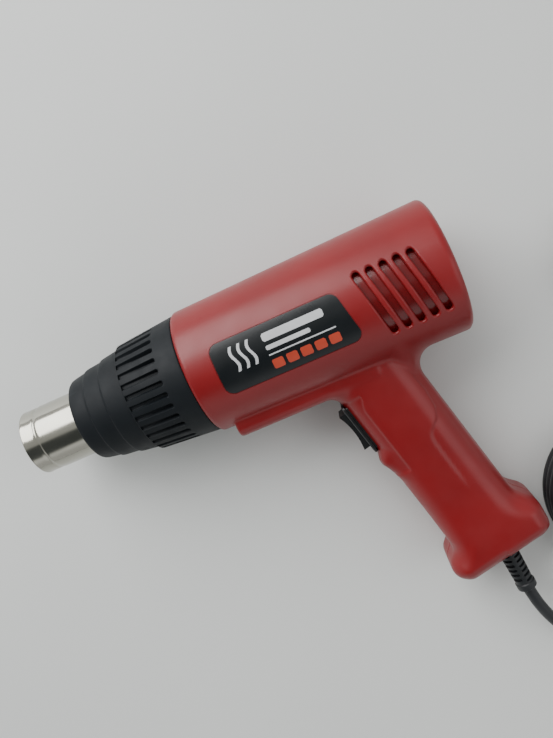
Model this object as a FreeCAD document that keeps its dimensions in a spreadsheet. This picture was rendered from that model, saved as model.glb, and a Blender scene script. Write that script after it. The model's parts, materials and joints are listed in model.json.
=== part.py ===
"""Pistol-shaped hot-air gun, lying on its right side.

Every piece is modelled in the tool's own frame, in millimetres: the barrel axis is X, x = 0 is the
mouth of the nozzle, +X runs to the rear, +Y is up through the barrel and +Z points out of the left
side. The finished pieces then take one common placement, which rolls the tool onto its right side.
"""
import math
import os
import re

import FreeCAD
import Part
from FreeCAD import Placement, Rotation, Vector

doc = FreeCAD.newDocument("heat_gun")

# ---------------------------------------------------------------- driving dimensions
DIMENSIONS = {
    "nozzle_radius": 17.5,
    "nozzle_wall": 0.8,
    "nozzle_rear": 100.0,
    "tail_start": 31.5,
    "tail_radius": 17.1,
    "bead_place": 8.0,
    "flange_radius": 26.0,
    "flange_thick": 1.2,
    "collar_front": 32.0,
    "collar_rear": 96.0,
    "collar_front_radius": 22.4,
    "collar_rear_radius": 32.0,
    "flute_start": 66.0,
    "flute_finish": 85.0,
    "flute_width": 2.2,
    "barrel_rear": 233.0,
    "barrel_front_radius": 33.2,
    "barrel_rear_radius": 34.8,
    "shell_wall": 2.6,
    "grip_slant": 14.0,
    "grip_front": 142.2,
    "grip_back": 184.7,
    "grip_half_width": 17.5,
    "grip_foot": 199.0,
    "butt_top": 172.0,
    "butt_front": 133.6,
    "butt_back": 192.2,
    "butt_half_width": 21.5,
    "keel_front": 104.5,
    "keel_depth": 39.8,
    "slot_width": 3.6,
    "slot_pitch": 6.7,
    "slot_centre": 205.8,
    "slot_slant": 12.9,
    "label_front": 111.5,
    "label_back": 178.8,
    "label_height": 25.6,
    "label_thick": 0.5,
    "duct_front": 100.0,
    "duct_rear": 150.0,
    "duct_radius": 29.5,
    "fan_front": 126.0,
    "fan_radius": 26.5,
    "motor_front": 149.0,
    "motor_rear": 187.0,
    "motor_radius": 18.0,
    "shaft_radius": 1.6,
    "shaft_front": 124.0,
    "shaft_rear": 192.0,
    "cord_radius": 3.2,
    "boot_radius": 4.9,
    "boot_length": 27.0,
    "rocker_along": 96.9,
    "rocker_depth": 145.0,
    "rocker_half_length": 10.8,
    "rocker_half_width": 6.6,
    "bezel_half_length": 15.1,
    "bezel_half_width": 9.5,
    "coil_outer_radius": 43.8,
    "coil_inner_radius": 24.2,
    "coil_height": 19.4,
    "roll": 5.0,
}

sheet = doc.addObject("Spreadsheet::Sheet", "sizes")
for row, (word, number) in enumerate(DIMENSIONS.items(), start=1):
    sheet.set("A%d" % row, word)
    sheet.set("B%d" % row, str(number))
    sheet.setAlias("B%d" % row, word)
doc.recompute()


def size(word):
    """The value of one driving dimension."""
    return float(sheet.get(word))


ANY_WORD = re.compile(r"\b(%s)\b" % "|".join(DIMENSIONS))


def bind(thing, **expressions):
    """Tie properties of a document object to the sheet: bind(cylinder, Radius="nozzle_radius")."""
    for prop, expression in expressions.items():
        thing.setExpression(prop.replace("__", "."), ANY_WORD.sub(r"sizes.\1", expression))


# ---------------------------------------------------------------- building blocks
ALONG_BARREL = Rotation(Vector(0, 1, 0), 90)


def frustum(name, start, length, radius, end_radius=None):
    """A disc, rod or cone on the barrel axis. Each size is a number or words from the sheet."""
    if end_radius is None:
        solid = doc.addObject("Part::Cylinder", name)
        bind(solid, Radius=str(radius), Height=str(length))
    else:
        solid = doc.addObject("Part::Cone", name)
        bind(solid, Radius1=str(radius), Radius2=str(end_radius), Height=str(length))
    solid.Placement = Placement(Vector(0, 0, 0), ALONG_BARREL)
    bind(solid, Placement__Base__x=str(start))
    return solid


def rod(name, radius, length, base, direction=Vector(0, 0, 1)):
    """A cylinder from a base point along a direction."""
    solid = doc.addObject("Part::Cylinder", name)
    bind(solid, Radius=str(radius), Height=str(length))
    solid.Placement = Placement(base, Rotation(Vector(0, 0, 1), direction))
    return solid


def block(name, length, width, height, corner, rotation=None):
    """A box from its lowest corner."""
    solid = doc.addObject("Part::Box", name)
    bind(solid, Length=str(length), Width=str(width), Height=str(height))
    solid.Placement = Placement(corner, rotation or Rotation())
    return solid


def fuse(name, pieces):
    """One solid made of several that overlap or touch."""
    result = doc.addObject("Part::MultiFuse", name)
    result.Shapes = pieces
    return result


def cut(name, base, tools):
    """The base with every tool taken out of it."""
    tool = tools[0] if len(tools) == 1 else fuse(name + "_tools", tools)
    result = doc.addObject("Part::Cut", name)
    result.Base = base
    result.Tool = tool
    return result


def common(name, first, second):
    """What two solids share."""
    result = doc.addObject("Part::Common", name)
    result.Base = first
    result.Tool = second
    return result


def group(name, pieces):
    """Separate solids that are kept as one node."""
    result = doc.addObject("Part::Compound", name)
    result.Links = pieces
    return result


def shaped(name, shape):
    """A document object around a shape made by Part's own functions."""
    result = doc.addObject("Part::Feature", name)
    result.Shape = shape
    return result


def rounded_path(points, radii):
    """Straight runs joined by tangent arcs. One radius for each inner point; 0 leaves it sharp."""
    edges = []
    here = points[0]
    for before, corner, after, radius in zip(points, points[1:], points[2:], radii):
        if radius == 0:
            edges.append(Part.makeLine(here, corner))
            here = corner
            continue
        back = (before - corner).normalize()
        onward = (after - corner).normalize()
        half = back.getAngle(onward) / 2
        reach = radius / math.tan(half)
        first = corner + back * reach
        last = corner + onward * reach
        centre_way = (back + onward).normalize()
        middle = corner + centre_way * (radius / math.sin(half) - radius)
        if (first - here).Length > 1e-6:
            edges.append(Part.makeLine(here, first))
        edges.append(Part.Arc(first, middle, last).toShape())
        here = last
    edges.append(Part.makeLine(here, points[-1]))
    return Part.Wire(edges)


def rounded_outline(points, radii):
    """A closed flat outline whose corners are rounded by tangent arcs."""
    start = (points[0] + points[-1]) * 0.5
    corners = [start] + points + [start]
    return rounded_path(corners, radii)


def largest_arcs(points):
    """For a cord's route, the radius of each bend: 0.45 of its shorter run over tan(half the turn)."""
    radii = []
    for before, corner, after in zip(points, points[1:], points[2:]):
        shorter = min((corner - before).Length, (after - corner).Length)
        turn = (corner - before).getAngle(after - corner)
        radii.append(0.45 * shorter / math.tan(turn / 2))
    return radii


def tube_along(points, radius, radii):
    """A round tube whose middle follows straight runs and tangent arcs."""
    path = rounded_path(points, radii)
    ring = Part.Wire(Part.makeCircle(radius, points[0], points[1] - points[0]))
    return path.makePipeShell([ring], True, True), path


TOOL_NODES = []
FLOOR_NODES = []


def finish_piece(thing, name, on_floor=False):
    """Name a finished piece and note which frame it was modelled in."""
    thing.Label = name
    (FLOOR_NODES if on_floor else TOOL_NODES).append(thing)


# ---------------------------------------------------------------- grip frame
SLANT = math.radians(size("grip_slant"))
GRIP_DOWN = Vector(math.sin(SLANT), -math.cos(SLANT), 0)
GRIP_BACK = Vector(math.cos(SLANT), math.sin(SLANT), 0)
IN_GRIP = Rotation(Vector(0, 0, 1), size("grip_slant"))


def grip_point(along, depth, left=0.0):
    """A point of the grip: how far down the grip, how far back from front to rear, how far left."""
    return GRIP_DOWN * along + GRIP_BACK * depth + Vector(0, 0, left)


def grip_block(name, along, depth, left, spans):
    """A box in line with the grip. spans = sizes down, back and left; the point is its middle."""
    down, back, wide = spans
    corner = grip_point(along + down / 2, depth - back / 2, left - wide / 2)
    return block(name, back, down, wide, corner, IN_GRIP)


# ---------------------------------------------------------------- housing
SCREW_PLACES = [
    Vector(113, 27.3, 0),
    Vector(168, 28.0, 0),
    Vector(226, 26.5, 0),
    Vector(226, -26.5, 0),
    grip_point(136, 179.3),
    grip_point(122, 147.5),
    grip_point(190, 143.0),
    grip_point(190, 185.0),
]
SCREW_SHANK = 1.6
SCREW_HEAD = 3.3
HEAD_DEPTH = 13.0
BOSS_RADIUS = 3.6

BOOT_BASE = Vector(206.7, -153.4, 0)
BOOT_WAY = Vector(0.103, -0.995, 0).normalize()
CLAMP_MIDDLE = BOOT_BASE - BOOT_WAY * 14
CLAMP_OFFSETS = (-7.4, 7.4)
CLAMP_SHANK = 1.4


def barrel_solid(name, inset):
    """The barrel's outside, or its hollow when inset by the wall."""
    front = "collar_rear" if inset == 0 else "collar_rear - 1"
    less = " - %s" % inset
    shoulder = frustum(name + "_shoulder", front, "2.5 + collar_rear - (%s)" % front,
                       "collar_rear_radius" + less, "barrel_front_radius" + less)
    body = frustum(name + "_body", "collar_rear + 2.5", "barrel_rear - collar_rear - 5.5",
                   "barrel_front_radius" + less, "barrel_rear_radius" + less)
    rim_length = "3" if inset == 0 else "3 - %s" % inset
    rim = frustum(name + "_rim", "barrel_rear - 3", rim_length,
                  "barrel_rear_radius" + less, "barrel_rear_radius - 2" + less)
    return fuse(name, [shoulder, body, rim])


def grip_solid(name, inset):
    """Rib under the barrel and grip in one, cut from a rounded side outline."""
    foot = size("grip_foot") - 9
    front = size("grip_front") + inset
    back = size("grip_back") - inset
    rib_bottom = -size("keel_depth") + inset
    neck_bottom = -34.6 + inset

    def on_grip_line(depth, height):
        down = (depth * GRIP_BACK.y - height) / math.cos(SLANT)
        return grip_point(down, depth)

    points = [
        Vector(size("keel_front") + inset, -20, 0),
        Vector(size("keel_front") + inset, rib_bottom, 0),
        on_grip_line(front, rib_bottom),
        grip_point(foot, front),
        grip_point(foot, back),
        on_grip_line(back, neck_bottom),
        Vector(218 - inset, neck_bottom, 0),
        Vector(216 - inset, -20, 0),
    ]
    radii = [0, 0, 6.5, 0, 0, 13.0, 0, 0]
    outline = rounded_outline(points, radii)
    half = size("grip_half_width") - inset
    flat = Part.Face(outline)
    flat.translate(Vector(0, 0, -half))
    solid = flat.extrude(Vector(0, 0, 2 * half))
    edge_radius = 8.5 - inset
    long_edges = [edge for edge in solid.Edges if is_grip_edge(edge, half)]
    return shaped(name, solid.makeFillet(edge_radius, long_edges))


def is_grip_edge(edge, half):
    """True for the long side edges of the rib and grip, short of the ends inside the barrel and butt."""
    box = edge.BoundBox
    on_side = abs(abs(box.Center.z) - half) < 1e-3 and box.ZLength < 1e-3
    middle = edge.valueAt((edge.FirstParameter + edge.LastParameter) / 2)
    above_foot = middle.dot(GRIP_DOWN) < size("grip_foot") - 12
    return on_side and above_foot and middle.y < -29 and size("keel_front") + 5 < middle.x < 217.4


def butt_solid(name, inset):
    """The flared foot of the grip."""
    down = size("grip_foot") - size("butt_top") - 2 * inset
    back = size("butt_back") - size("butt_front") - 2 * inset
    wide = 2 * (size("butt_half_width") - inset)
    corner = grip_point(size("grip_foot") - inset, size("butt_front") + inset, -wide / 2)
    brick = Part.makeBox(back, down, wide)
    brick = brick.makeFillet(7.5 - inset, brick.Edges)
    brick.Placement = Placement(corner, IN_GRIP)
    return shaped(name, brick)


def slot_cutters():
    """Five slanted, round-ended slots through both sides."""
    cutters = []
    half_run = 17.6 - size("slot_width") / 2
    turn = Rotation(Vector(0, 0, 1), size("slot_slant"))
    for index in range(5):
        place = size("slot_centre") + (index - 2) * size("slot_pitch")
        middle = Vector(place, 0, 0)
        for side, low in (("left", 20), ("right", -44)):
            tag = "slot_%s_%d" % (side, index + 1)
            offset = turn.multVec(Vector(-size("slot_width") / 2, -half_run, 0))
            corner = middle + offset + Vector(0, 0, low)
            cutters.append(block(tag, "slot_width", 2 * half_run, 24, corner, turn))
            for end in (-1, 1):
                spot = middle + turn.multVec(Vector(0, end * half_run, 0)) + Vector(0, 0, low)
                cutters.append(rod("%s_end_%d" % (tag, end + 2), "slot_width / 2", 24, spot))
    return cutters


def label_prism(name, side, gap):
    """The label's outline, run out through one side of the barrel."""
    front = size("label_front") + gap
    back = size("label_back") - gap
    half = size("label_height") / 2 - gap
    lean = 2.9 * half / 12.8
    points = [
        Vector(front, half, 0),
        Vector(back - lean, half, 0),
        Vector(back + lean, -half, 0),
        Vector(front, -half, 0),
    ]
    flat = Part.Face(rounded_outline(points, [4.5 - gap] * 4))
    solid = flat.extrude(Vector(0, 0, side * 45))
    return shaped(name, solid)


def label_skin(name, raise_by, sink_by):
    """A thin shell of the barrel's own cone."""
    outer = frustum(name + "_outer", "collar_rear + 2.5", "barrel_rear - collar_rear - 5.5",
                    "barrel_front_radius + %s" % raise_by, "barrel_rear_radius + %s" % raise_by)
    inner = frustum(name + "_inner", "collar_rear + 2", "barrel_rear - collar_rear",
                    "barrel_front_radius - %s" % sink_by, "barrel_rear_radius - %s" % sink_by)
    return cut(name, outer, [inner])


def clamp_posts():
    """Posts in the right half that carry the cable clamp on both sides of the cord."""
    height = size("butt_half_width") - 1 + size("cord_radius")
    return [rod("clamp_post_%d" % number, 3.0, height,
                CLAMP_MIDDLE + Vector(offset, 0, size("cord_radius") - height))
            for number, offset in enumerate(CLAMP_OFFSETS, start=1)]


def build_housing():
    wall = size("shell_wall")
    outside = fuse("housing_outside", [barrel_solid("barrel_outside", 0), grip_solid("grip_outside", 0),
                                       butt_solid("butt_outside", 0)])
    hollow = fuse("housing_hollow", [barrel_solid("barrel_hollow", wall), grip_solid("grip_hollow", wall),
                                     butt_solid("butt_hollow", wall)])
    recess = label_skin("label_recess_skin", 1, "label_thick")
    recesses = [common("label_recess_%s" % side, recess, label_prism("label_edge_%s" % side, sign, 0))
                for side, sign in (("left", 1), ("right", -1))]
    mouth = frustum("housing_mouth", "collar_rear - 2", 6, "collar_rear_radius - 1.6")
    switch_window = grip_block("switch_window", size("rocker_along"), 145, 0, (27.4, 12, 16.8))
    boot_hole = rod("boot_hole", "boot_radius + 0.45", 12, BOOT_BASE - BOOT_WAY * 6, BOOT_WAY)
    shell = cut("housing_shell", outside,
                [hollow, mouth, switch_window, boot_hole] + recesses + slot_cutters())
    for side, low in (("left", 0), ("right", -60)):
        half_space = block("half_space_%s" % side, 300, 300, 60, Vector(-10, -230, low))
        half_shell = common("shell_%s" % side, shell, half_space)
        bosses = fuse("bosses_%s_raw" % side,
                      [rod("boss_%s_%d" % (side, number), BOSS_RADIUS, 60, place + Vector(0, 0, low))
                       for number, place in enumerate(SCREW_PLACES, start=1)])
        filled = common("bosses_%s" % side, bosses, outside)
        holes = []
        for number, place in enumerate(SCREW_PLACES, start=1):
            if side == "left":
                holes.append(rod("pilot_%d" % number, SCREW_SHANK, 11, place))
            else:
                holes.append(rod("clearance_%d" % number, SCREW_SHANK, 60, place + Vector(0, 0, -60)))
                holes.append(rod("head_recess_%d" % number, SCREW_HEAD + 0.2, 60,
                                 place + Vector(0, 0, -60 - HEAD_DEPTH + 6)))
        solids = [half_shell, filled]
        if side == "right":
            solids += clamp_posts()
            holes += [rod("post_pilot_%d" % number, CLAMP_SHANK, 14, CLAMP_MIDDLE + Vector(offset, 0, -8))
                      for number, offset in enumerate(CLAMP_OFFSETS, start=1)]
        joined = fuse("shell_bossed_%s" % side, solids)
        finish_piece(cut("housing_%s_cut" % side, joined, holes), "housing_%s" % side)


def build_labels():
    skin = label_skin("label_skin", 0, "label_thick")
    for side, sign in (("left", 1), ("right", -1)):
        finish_piece(common("label_%s_piece" % side, skin, label_prism("label_%s_edge" % side, sign, 0.15)),
                     "label_%s" % side)


def build_baffles():
    """Curved inner screens that stand behind the intake slots."""
    ring = cut("baffle_ring", frustum("baffle_outer", 187, 38, 30.4),
               [frustum("baffle_inner", 186, 40, 29.2)])
    for side, low in (("left", 20), ("right", -50)):
        window = block("baffle_window_%s" % side, 60, 41, 30, Vector(180, -20.5, low))
        finish_piece(common("baffle_%s_piece" % side, ring, window), "baffle_%s" % side)


def build_screws():
    screws = []
    for number, place in enumerate(SCREW_PLACES, start=1):
        seat = -HEAD_DEPTH + 6
        shank = rod("screw_shank_%d" % number, SCREW_SHANK, 10.5 - seat, place + Vector(0, 0, seat - 0.5))
        head = rod("screw_head_%d" % number, SCREW_HEAD - 0.3, 2.4, place + Vector(0, 0, seat - 2.4))
        cross_a = block("screw_cross_a_%d" % number, 3.4, 0.8, 1.6, place + Vector(-1.7, -0.4, seat - 3.0))
        cross_b = block("screw_cross_b_%d" % number, 0.8, 3.4, 1.6, place + Vector(-0.4, -1.7, seat - 3.0))
        screws.append(cut("screw_%d" % number, fuse("screw_blank_%d" % number, [shank, head]),
                          [cross_a, cross_b]))
    finish_piece(group("screws_all", screws), "housing_screws")


# ---------------------------------------------------------------- nozzle, collar and heater
def build_nozzle():
    tube = frustum("tube_outside", 0, "tail_start", "nozzle_radius")
    tail = frustum("tube_tail", "tail_start - 1", "nozzle_rear - tail_start + 1", "tail_radius")
    flange = frustum("tube_flange", "nozzle_rear - flange_thick", "flange_thick", "flange_radius")
    bore = frustum("tube_bore", -1, "nozzle_rear + 2", "nozzle_radius - nozzle_wall")
    groove_block = frustum("bead_block", "bead_place - 0.7", 1.4, "nozzle_radius + 1")
    groove_core = frustum("bead_core", "bead_place - 1", 2, "nozzle_radius - 0.35")
    groove = cut("bead_groove", groove_block, [groove_core])
    end_block = frustum("lip_block", -0.5, "bead_place - 0.2", "nozzle_radius + 1")
    end_core = frustum("lip_core", -1, "bead_place + 1", "nozzle_radius - 0.2")
    step = cut("lip_step", end_block, [end_core])
    blank = fuse("tube_blank", [tube, tail, flange])
    finish_piece(cut("tube_piece", blank, [bore, groove, step]), "nozzle_tube")


def build_collar():
    steps = [
        ("32.0", "3.0", "20.4", "22.6"),
        ("35.0", "7.0", "22.6", "23.9"),
        ("42.0", "10.0", "24.7", "25.7"),
        ("52.0", "11.5", "26.5", "28.0"),
        ("63.5", "32.5", "29.4", "collar_rear_radius"),
    ]
    sections = [frustum("collar_step_%d" % number, *values) for number, values in enumerate(steps, start=1)]
    spigot = frustum("collar_spigot", "collar_rear - 0.5", 6.5, "collar_rear_radius - 1.75")
    body = fuse("collar_blank", sections + [spigot])
    bores = [
        frustum("collar_lip_bore", "collar_front - 1", 6, "nozzle_radius + 0.6"),
        frustum("collar_hollow", 36, 54, 20.2, 25.0),
        frustum("collar_seat", 89, 9.8, 24.4),
        frustum("collar_flange_bore", "nozzle_rear - flange_thick", 8, "flange_radius + 0.3"),
    ]
    flutes = []
    for index in range(32):
        turn = Rotation(Vector(1, 0, 0), 360.0 * index / 32)
        depth_low = 29.0
        corner = turn.multVec(Vector(size("flute_start") - 4, -size("flute_width") / 2, depth_low))
        flutes.append(block("flute_%d" % (index + 1), "flute_finish - flute_start + 4", "flute_width", 5,
                            corner, turn))
        foot = turn.multVec(Vector(size("flute_finish"), 0, depth_low))
        flutes.append(rod("flute_end_%d" % (index + 1), "flute_width / 2", 5, foot,
                          turn.multVec(Vector(0, 0, 1))))
    finish_piece(cut("collar_piece", body, bores + flutes), "front_collar")


def build_heater():
    inner = size("nozzle_radius") - size("nozzle_wall")
    sleeve = cut("mica_tube", frustum("mica_outer", 14, 82, inner - 0.1),
                 [frustum("mica_inner", 13, 84, inner - 0.7)])
    finish_piece(sleeve, "mica_sleeve")
    plates = [block("cross_plate_upright", 74, 28, 0.8, Vector(18, -14, -0.4)),
              block("cross_plate_level", 74, 0.8, 28, Vector(18, -0.4, -14))]
    finish_piece(fuse("mica_cross", plates), "heater_core")
    for name, place in (("heater_front_disc", 16.4), ("heater_rear_disc", 92.2)):
        disc = frustum(name + "_blank", place, 1.4, inner - 0.9)
        windows = []
        for quarter in range(4):
            angle = math.radians(45 + 90 * quarter)
            middle = Vector(place - 1, 9.0 * math.cos(angle), 9.0 * math.sin(angle))
            windows.append(rod("%s_window_%d" % (name, quarter + 1), 4.6, 4, middle, Vector(1, 0, 0)))
        finish_piece(cut(name + "_piece", disc, windows), name)
    turns = []
    wire = 0.45
    for index in range(14):
        ring = doc.addObject("Part::Torus", "winding_%d" % (index + 1))
        ring.Radius1 = 14.0 + wire + 0.05
        ring.Radius2 = wire
        ring.Placement = Placement(Vector(22.0 + 5.0 * index, 0, 0), ALONG_BARREL)
        turns.append(ring)
    finish_piece(group("windings", turns), "heating_wire")
    finish_piece(block("cut_out_piece", 9, 5, 3.2, Vector(96.0, 3.0, -1.6)), "thermal_cutout")


# ---------------------------------------------------------------- fan, duct and motor
LEAD_LEFTS = (-4.0, 4.0)
LEAD_RADIUS = 1.0


def lead_route(left):
    """Heater lead: along the rib under the duct, then up through the duct wall to the heater."""
    return [Vector(152, -33.6, left), Vector(113, -33.6, left), Vector(100.5, -9.5, left),
            Vector(94.2, -9.5, left)]


def build_duct():
    outer = [frustum("duct_flange", "duct_front", 2, "flange_radius"),
             frustum("duct_cone", "duct_front + 1.9", 18.2, 20, "duct_radius"),
             frustum("duct_drum", "duct_front + 20", "duct_rear - duct_front - 20", "duct_radius")]
    inner = [frustum("duct_throat", "duct_front - 1", 4, "nozzle_radius - nozzle_wall"),
             frustum("duct_funnel", "duct_front + 2.9", 17.2, 17.2, "duct_radius - 1.5"),
             frustum("duct_chamber", "duct_front + 20", 40, "duct_radius - 1.5")]
    slots = [shaped("duct_lead_hole_%d" % number, tube_along(lead_route(left), LEAD_RADIUS + 0.3, [8, 5])[0])
             for number, left in enumerate(LEAD_LEFTS, start=1)]
    boss_room = [rod("duct_boss_room", BOSS_RADIUS + 0.4, 80, SCREW_PLACES[0] + Vector(0, 0, -40))]
    finish_piece(cut("duct_piece", fuse("duct_blank", outer), inner + slots + boss_room), "fan_duct")


def build_carrier():
    place = size("motor_front") - 3
    rim = cut("carrier_rim", frustum("carrier_rim_blank", place, 3, 27.9),
              [frustum("carrier_rim_hole", place - 1, 5, 25.4)])
    hub = cut("carrier_hub", frustum("carrier_hub_blank", place, 3, 18.5),
              [frustum("carrier_hub_hole", place - 1, 5, 5.4)])
    arms = []
    for number, turn in enumerate((0, 90, 180, 270), start=1):
        way = Rotation(Vector(1, 0, 0), turn)
        arms.append(block("carrier_arm_%d" % number, 3, 4, 9, way.multVec(Vector(place, -2, 17.5)), way))
    screw_holes = [frustum_at("carrier_screw_hole_%d" % number, place - 1, 5, 1.5, height)
                   for number, height in enumerate((-9.0, 9.0), start=1)]
    finish_piece(cut("carrier_piece", fuse("carrier_blank", [rim, hub] + arms), screw_holes), "motor_carrier")
    screws = []
    for number, height in enumerate((-9.0, 9.0), start=1):
        shank = frustum_at("motor_screw_shank_%d" % number, place, 6.2, 1.5, height)
        head = frustum_at("motor_screw_head_%d" % number, place - 2, 2.0, 2.8, height)
        screws.append(fuse("motor_screw_%d" % number, [shank, head]))
    finish_piece(group("motor_screws_all", screws), "motor_screws")


def frustum_at(name, start, length, radius, height):
    """A rod parallel to the barrel axis, at a height above it."""
    return rod(name, radius, length, Vector(start, height, 0), Vector(1, 0, 0))


def build_motor():
    front = size("motor_front")
    rear = size("motor_rear")
    can = cut("can_piece", frustum("can_outside", "motor_front", "motor_rear - motor_front", "motor_radius"),
              [frustum("can_inside", "motor_front + 1.2", "motor_rear - motor_front", "motor_radius - 1.2"),
               frustum("can_eye", front - 1, 4, 3.2)]
              + [frustum_at("can_thread_%d" % number, front - 1, 4, 1.5, height)
                 for number, height in enumerate((-9.0, 9.0), start=1)])
    finish_piece(can, "motor_can")
    magnet_ring = cut("magnet_ring", frustum("magnet_outer", front + 5, 26, "motor_radius - 1.2"),
                      [frustum("magnet_inner", front + 4, 28, 12.0)])
    shoes = [block("magnet_window_%s" % side, 26, 40, 24, Vector(front + 5, -20, low))
             for side, low in (("left", 4), ("right", -28))]
    finish_piece(common("magnets_piece", magnet_ring, fuse("magnet_windows", shoes)), "motor_magnets")
    cap = cut("end_cap_piece", fuse("end_cap_blank", [
        frustum("end_cap_disc", rear, 2.4, "motor_radius"),
        frustum("end_cap_spigot", rear - 1.6, 1.7, "motor_radius - 1.25"),
        frustum("end_cap_neck", rear + 2.3, 2.2, 5.2)]), [frustum("end_cap_eye", rear - 3, 10, 3.2)])
    finish_piece(cap, "motor_end_cap")
    for name, place in (("bush_front", front - 2.6), ("bush_rear", rear - 0.5)):
        sleeve = cut(name + "_piece", frustum(name + "_outside", place, 4.6, 3.2),
                     [frustum(name + "_eye", place - 1, 7, "shaft_radius + 0.03")])
        finish_piece(sleeve, name)
    brushes = [block("brush_%s" % side, 4.4, 2.6, 5.0, Vector(rear - 7.2, -1.3, low))
               for side, low in (("left", 4.9), ("right", -9.9))]
    finish_piece(group("brushes_both", brushes), "carbon_brushes")


def build_rotor():
    front = size("motor_front")
    finish_piece(frustum("shaft_piece", "shaft_front", "shaft_rear - shaft_front", "shaft_radius"),
                 "motor_shaft")
    stack = frustum("stack_round", front + 7, 20, 11.2)
    grooves = []
    for index in range(5):
        turn = Rotation(Vector(1, 0, 0), 72 * index)
        grooves.append(block("stack_groove_%d" % (index + 1), 24, 2.2, 5,
                             turn.multVec(Vector(front + 5, -1.1, 7.4)), turn))
    core = cut("stack_piece", stack, [frustum("stack_eye", front, 40, "shaft_radius")] + grooves)
    finish_piece(core, "armature")
    ring = cut("commutator_piece", frustum("commutator_round", front + 29.5, 6.5, 4.6),
               [frustum("commutator_eye", front + 28, 10, "shaft_radius")])
    finish_piece(ring, "commutator")
    hub = frustum("fan_hub", "fan_front", 15, 6.5)
    plate = frustum("fan_plate", "fan_front + 13.4", 1.6, "fan_radius")
    blades = []
    for index in range(9):
        turn = Rotation(Vector(1, 0, 0), 40 * index)
        lean = turn.multiply(Rotation(Vector(1, 0, 0), 18))
        base = turn.multVec(Vector(size("fan_front") + 0.5, 0, 5.2))
        blades.append(block("fan_blade_%d" % (index + 1), 13.5, 1.2, 20.2, base, lean))
    wheel = cut("fan_piece", fuse("fan_blank", [hub, plate] + blades),
                [frustum("fan_eye", 110, 60, "shaft_radius")])
    finish_piece(wheel, "fan_impeller")


def build_electrics():
    board_place = size("motor_rear") + 6.5
    board = cut("board_piece", frustum("board_round", board_place, 1.6, 16),
                [frustum("board_eye", board_place - 1, 4, 6)])
    finish_piece(board, "rectifier_board")
    diodes = []
    for number in range(4):
        angle = math.radians(45 + 90 * number)
        middle = Vector(board_place + 1.6, 10.8 * math.cos(angle), 10.8 * math.sin(angle))
        diodes.append(rod("diode_%d" % (number + 1), 2.4, 6, middle, Vector(1, 0, 0)))
    finish_piece(group("diodes_all", diodes), "board_diodes")
    finish_piece(grip_block("capacitor_piece", 128, 160, 0, (17, 14, 9)), "noise_capacitor")
    core_end = BOOT_BASE - BOOT_WAY * 26
    wires = [
        ("wire_live", [core_end + Vector(0, 0, 1.6), grip_point(150, 170, 3), grip_point(124, 176.5, 3),
                       grip_point(105.4, 178.6, 3)], [30, 30]),
        ("wire_neutral", [core_end - Vector(0, 0, 1.6), grip_point(150, 167, -4), grip_point(128, 170.5, -4),
                          grip_point(110, 178.6, -4), Vector(192.5, -28, -4), Vector(190, -19.4, -4)],
         [30, 20, 20, 6]),
        ("motor_lead", [grip_point(90, 180.3, 4), Vector(198.5, -30, 4), Vector(188, -21.5, 4),
                        Vector(188, -18.6, 4)], [9, 3]),
    ]
    for name, points, radii in wires:
        finish_piece(shaped(name + "_piece", tube_along(points, LEAD_RADIUS, radii)[0]), name)
    for number, left in enumerate(LEAD_LEFTS, start=1):
        name = "heater_lead_%d" % number
        finish_piece(shaped(name + "_piece", tube_along(lead_route(left), LEAD_RADIUS, [8, 5])[0]), name)


# ---------------------------------------------------------------- switch
def build_switch():
    along = size("rocker_along")
    face = size("grip_front") - 0.8
    length = 2 * size("bezel_half_length")
    width = 2 * size("bezel_half_width")
    flange = grip_block("bezel_flange", along, face + 0.1, 0, (length, 1.4, width))
    sleeve = grip_block("bezel_sleeve", along, face + 4.0, 0, (27.0, 8.0, 16.4))
    window = grip_block("bezel_window", along, face + 4.0, 0, (24.4, 12.0, 14.0))
    pin_hole = rod("bezel_pin_hole", 1.25, 17, grip_point(along, size("rocker_depth"), -8.5))
    finish_piece(cut("bezel_piece", fuse("bezel_blank", [flange, sleeve]), [window, pin_hole]),
                 "switch_bezel")
    finish_piece(rod("rocker_pin_piece", 1.25, 16, grip_point(along, size("rocker_depth"), -8)), "rocker_pin")

    half = size("rocker_half_length")
    top = size("rocker_depth") - 7.0
    points = [
        grip_point(along - half, size("rocker_depth") + 0.5),
        grip_point(along - half, top),
        grip_point(along - half + 2.4, top),
        grip_point(along + half - 2.2, top),
        grip_point(along + half, top),
        grip_point(along + half, size("rocker_depth") + 0.5),
        grip_point(along, size("rocker_depth") + 3.4),
    ]
    lower = Part.makePolygon([points[5], points[6], points[0], points[1]])
    hollow = Part.Arc(points[1], grip_point(along, top + 0.9), points[4]).toShape()
    side = Part.makeLine(points[4], points[5])
    outline = Part.Wire(Part.sortEdges(lower.Edges + [hollow, side])[0])
    wide = size("rocker_half_width")
    flat = Part.Face(outline)
    flat.translate(Vector(0, 0, -wide))
    key = shaped("rocker_key", flat.extrude(Vector(0, 0, 2 * wide)))
    bore = rod("rocker_bore", 1.3, 20, grip_point(along, size("rocker_depth"), -10))
    finish_piece(cut("rocker_piece", key, [bore]), "switch_rocker")

    back = face + 8.0
    finish_piece(grip_block("switch_body_piece", along, back + 9.5, 0, (24, 19, 17)), "switch_body")
    blades = [grip_block("blade_%d" % number, along + offset, back + 22.5, 0, (0.8, 7.0, 6.3))
              for number, offset in enumerate((-8, 0, 8), start=1)]
    finish_piece(group("blades_all", blades), "switch_terminals")


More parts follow.
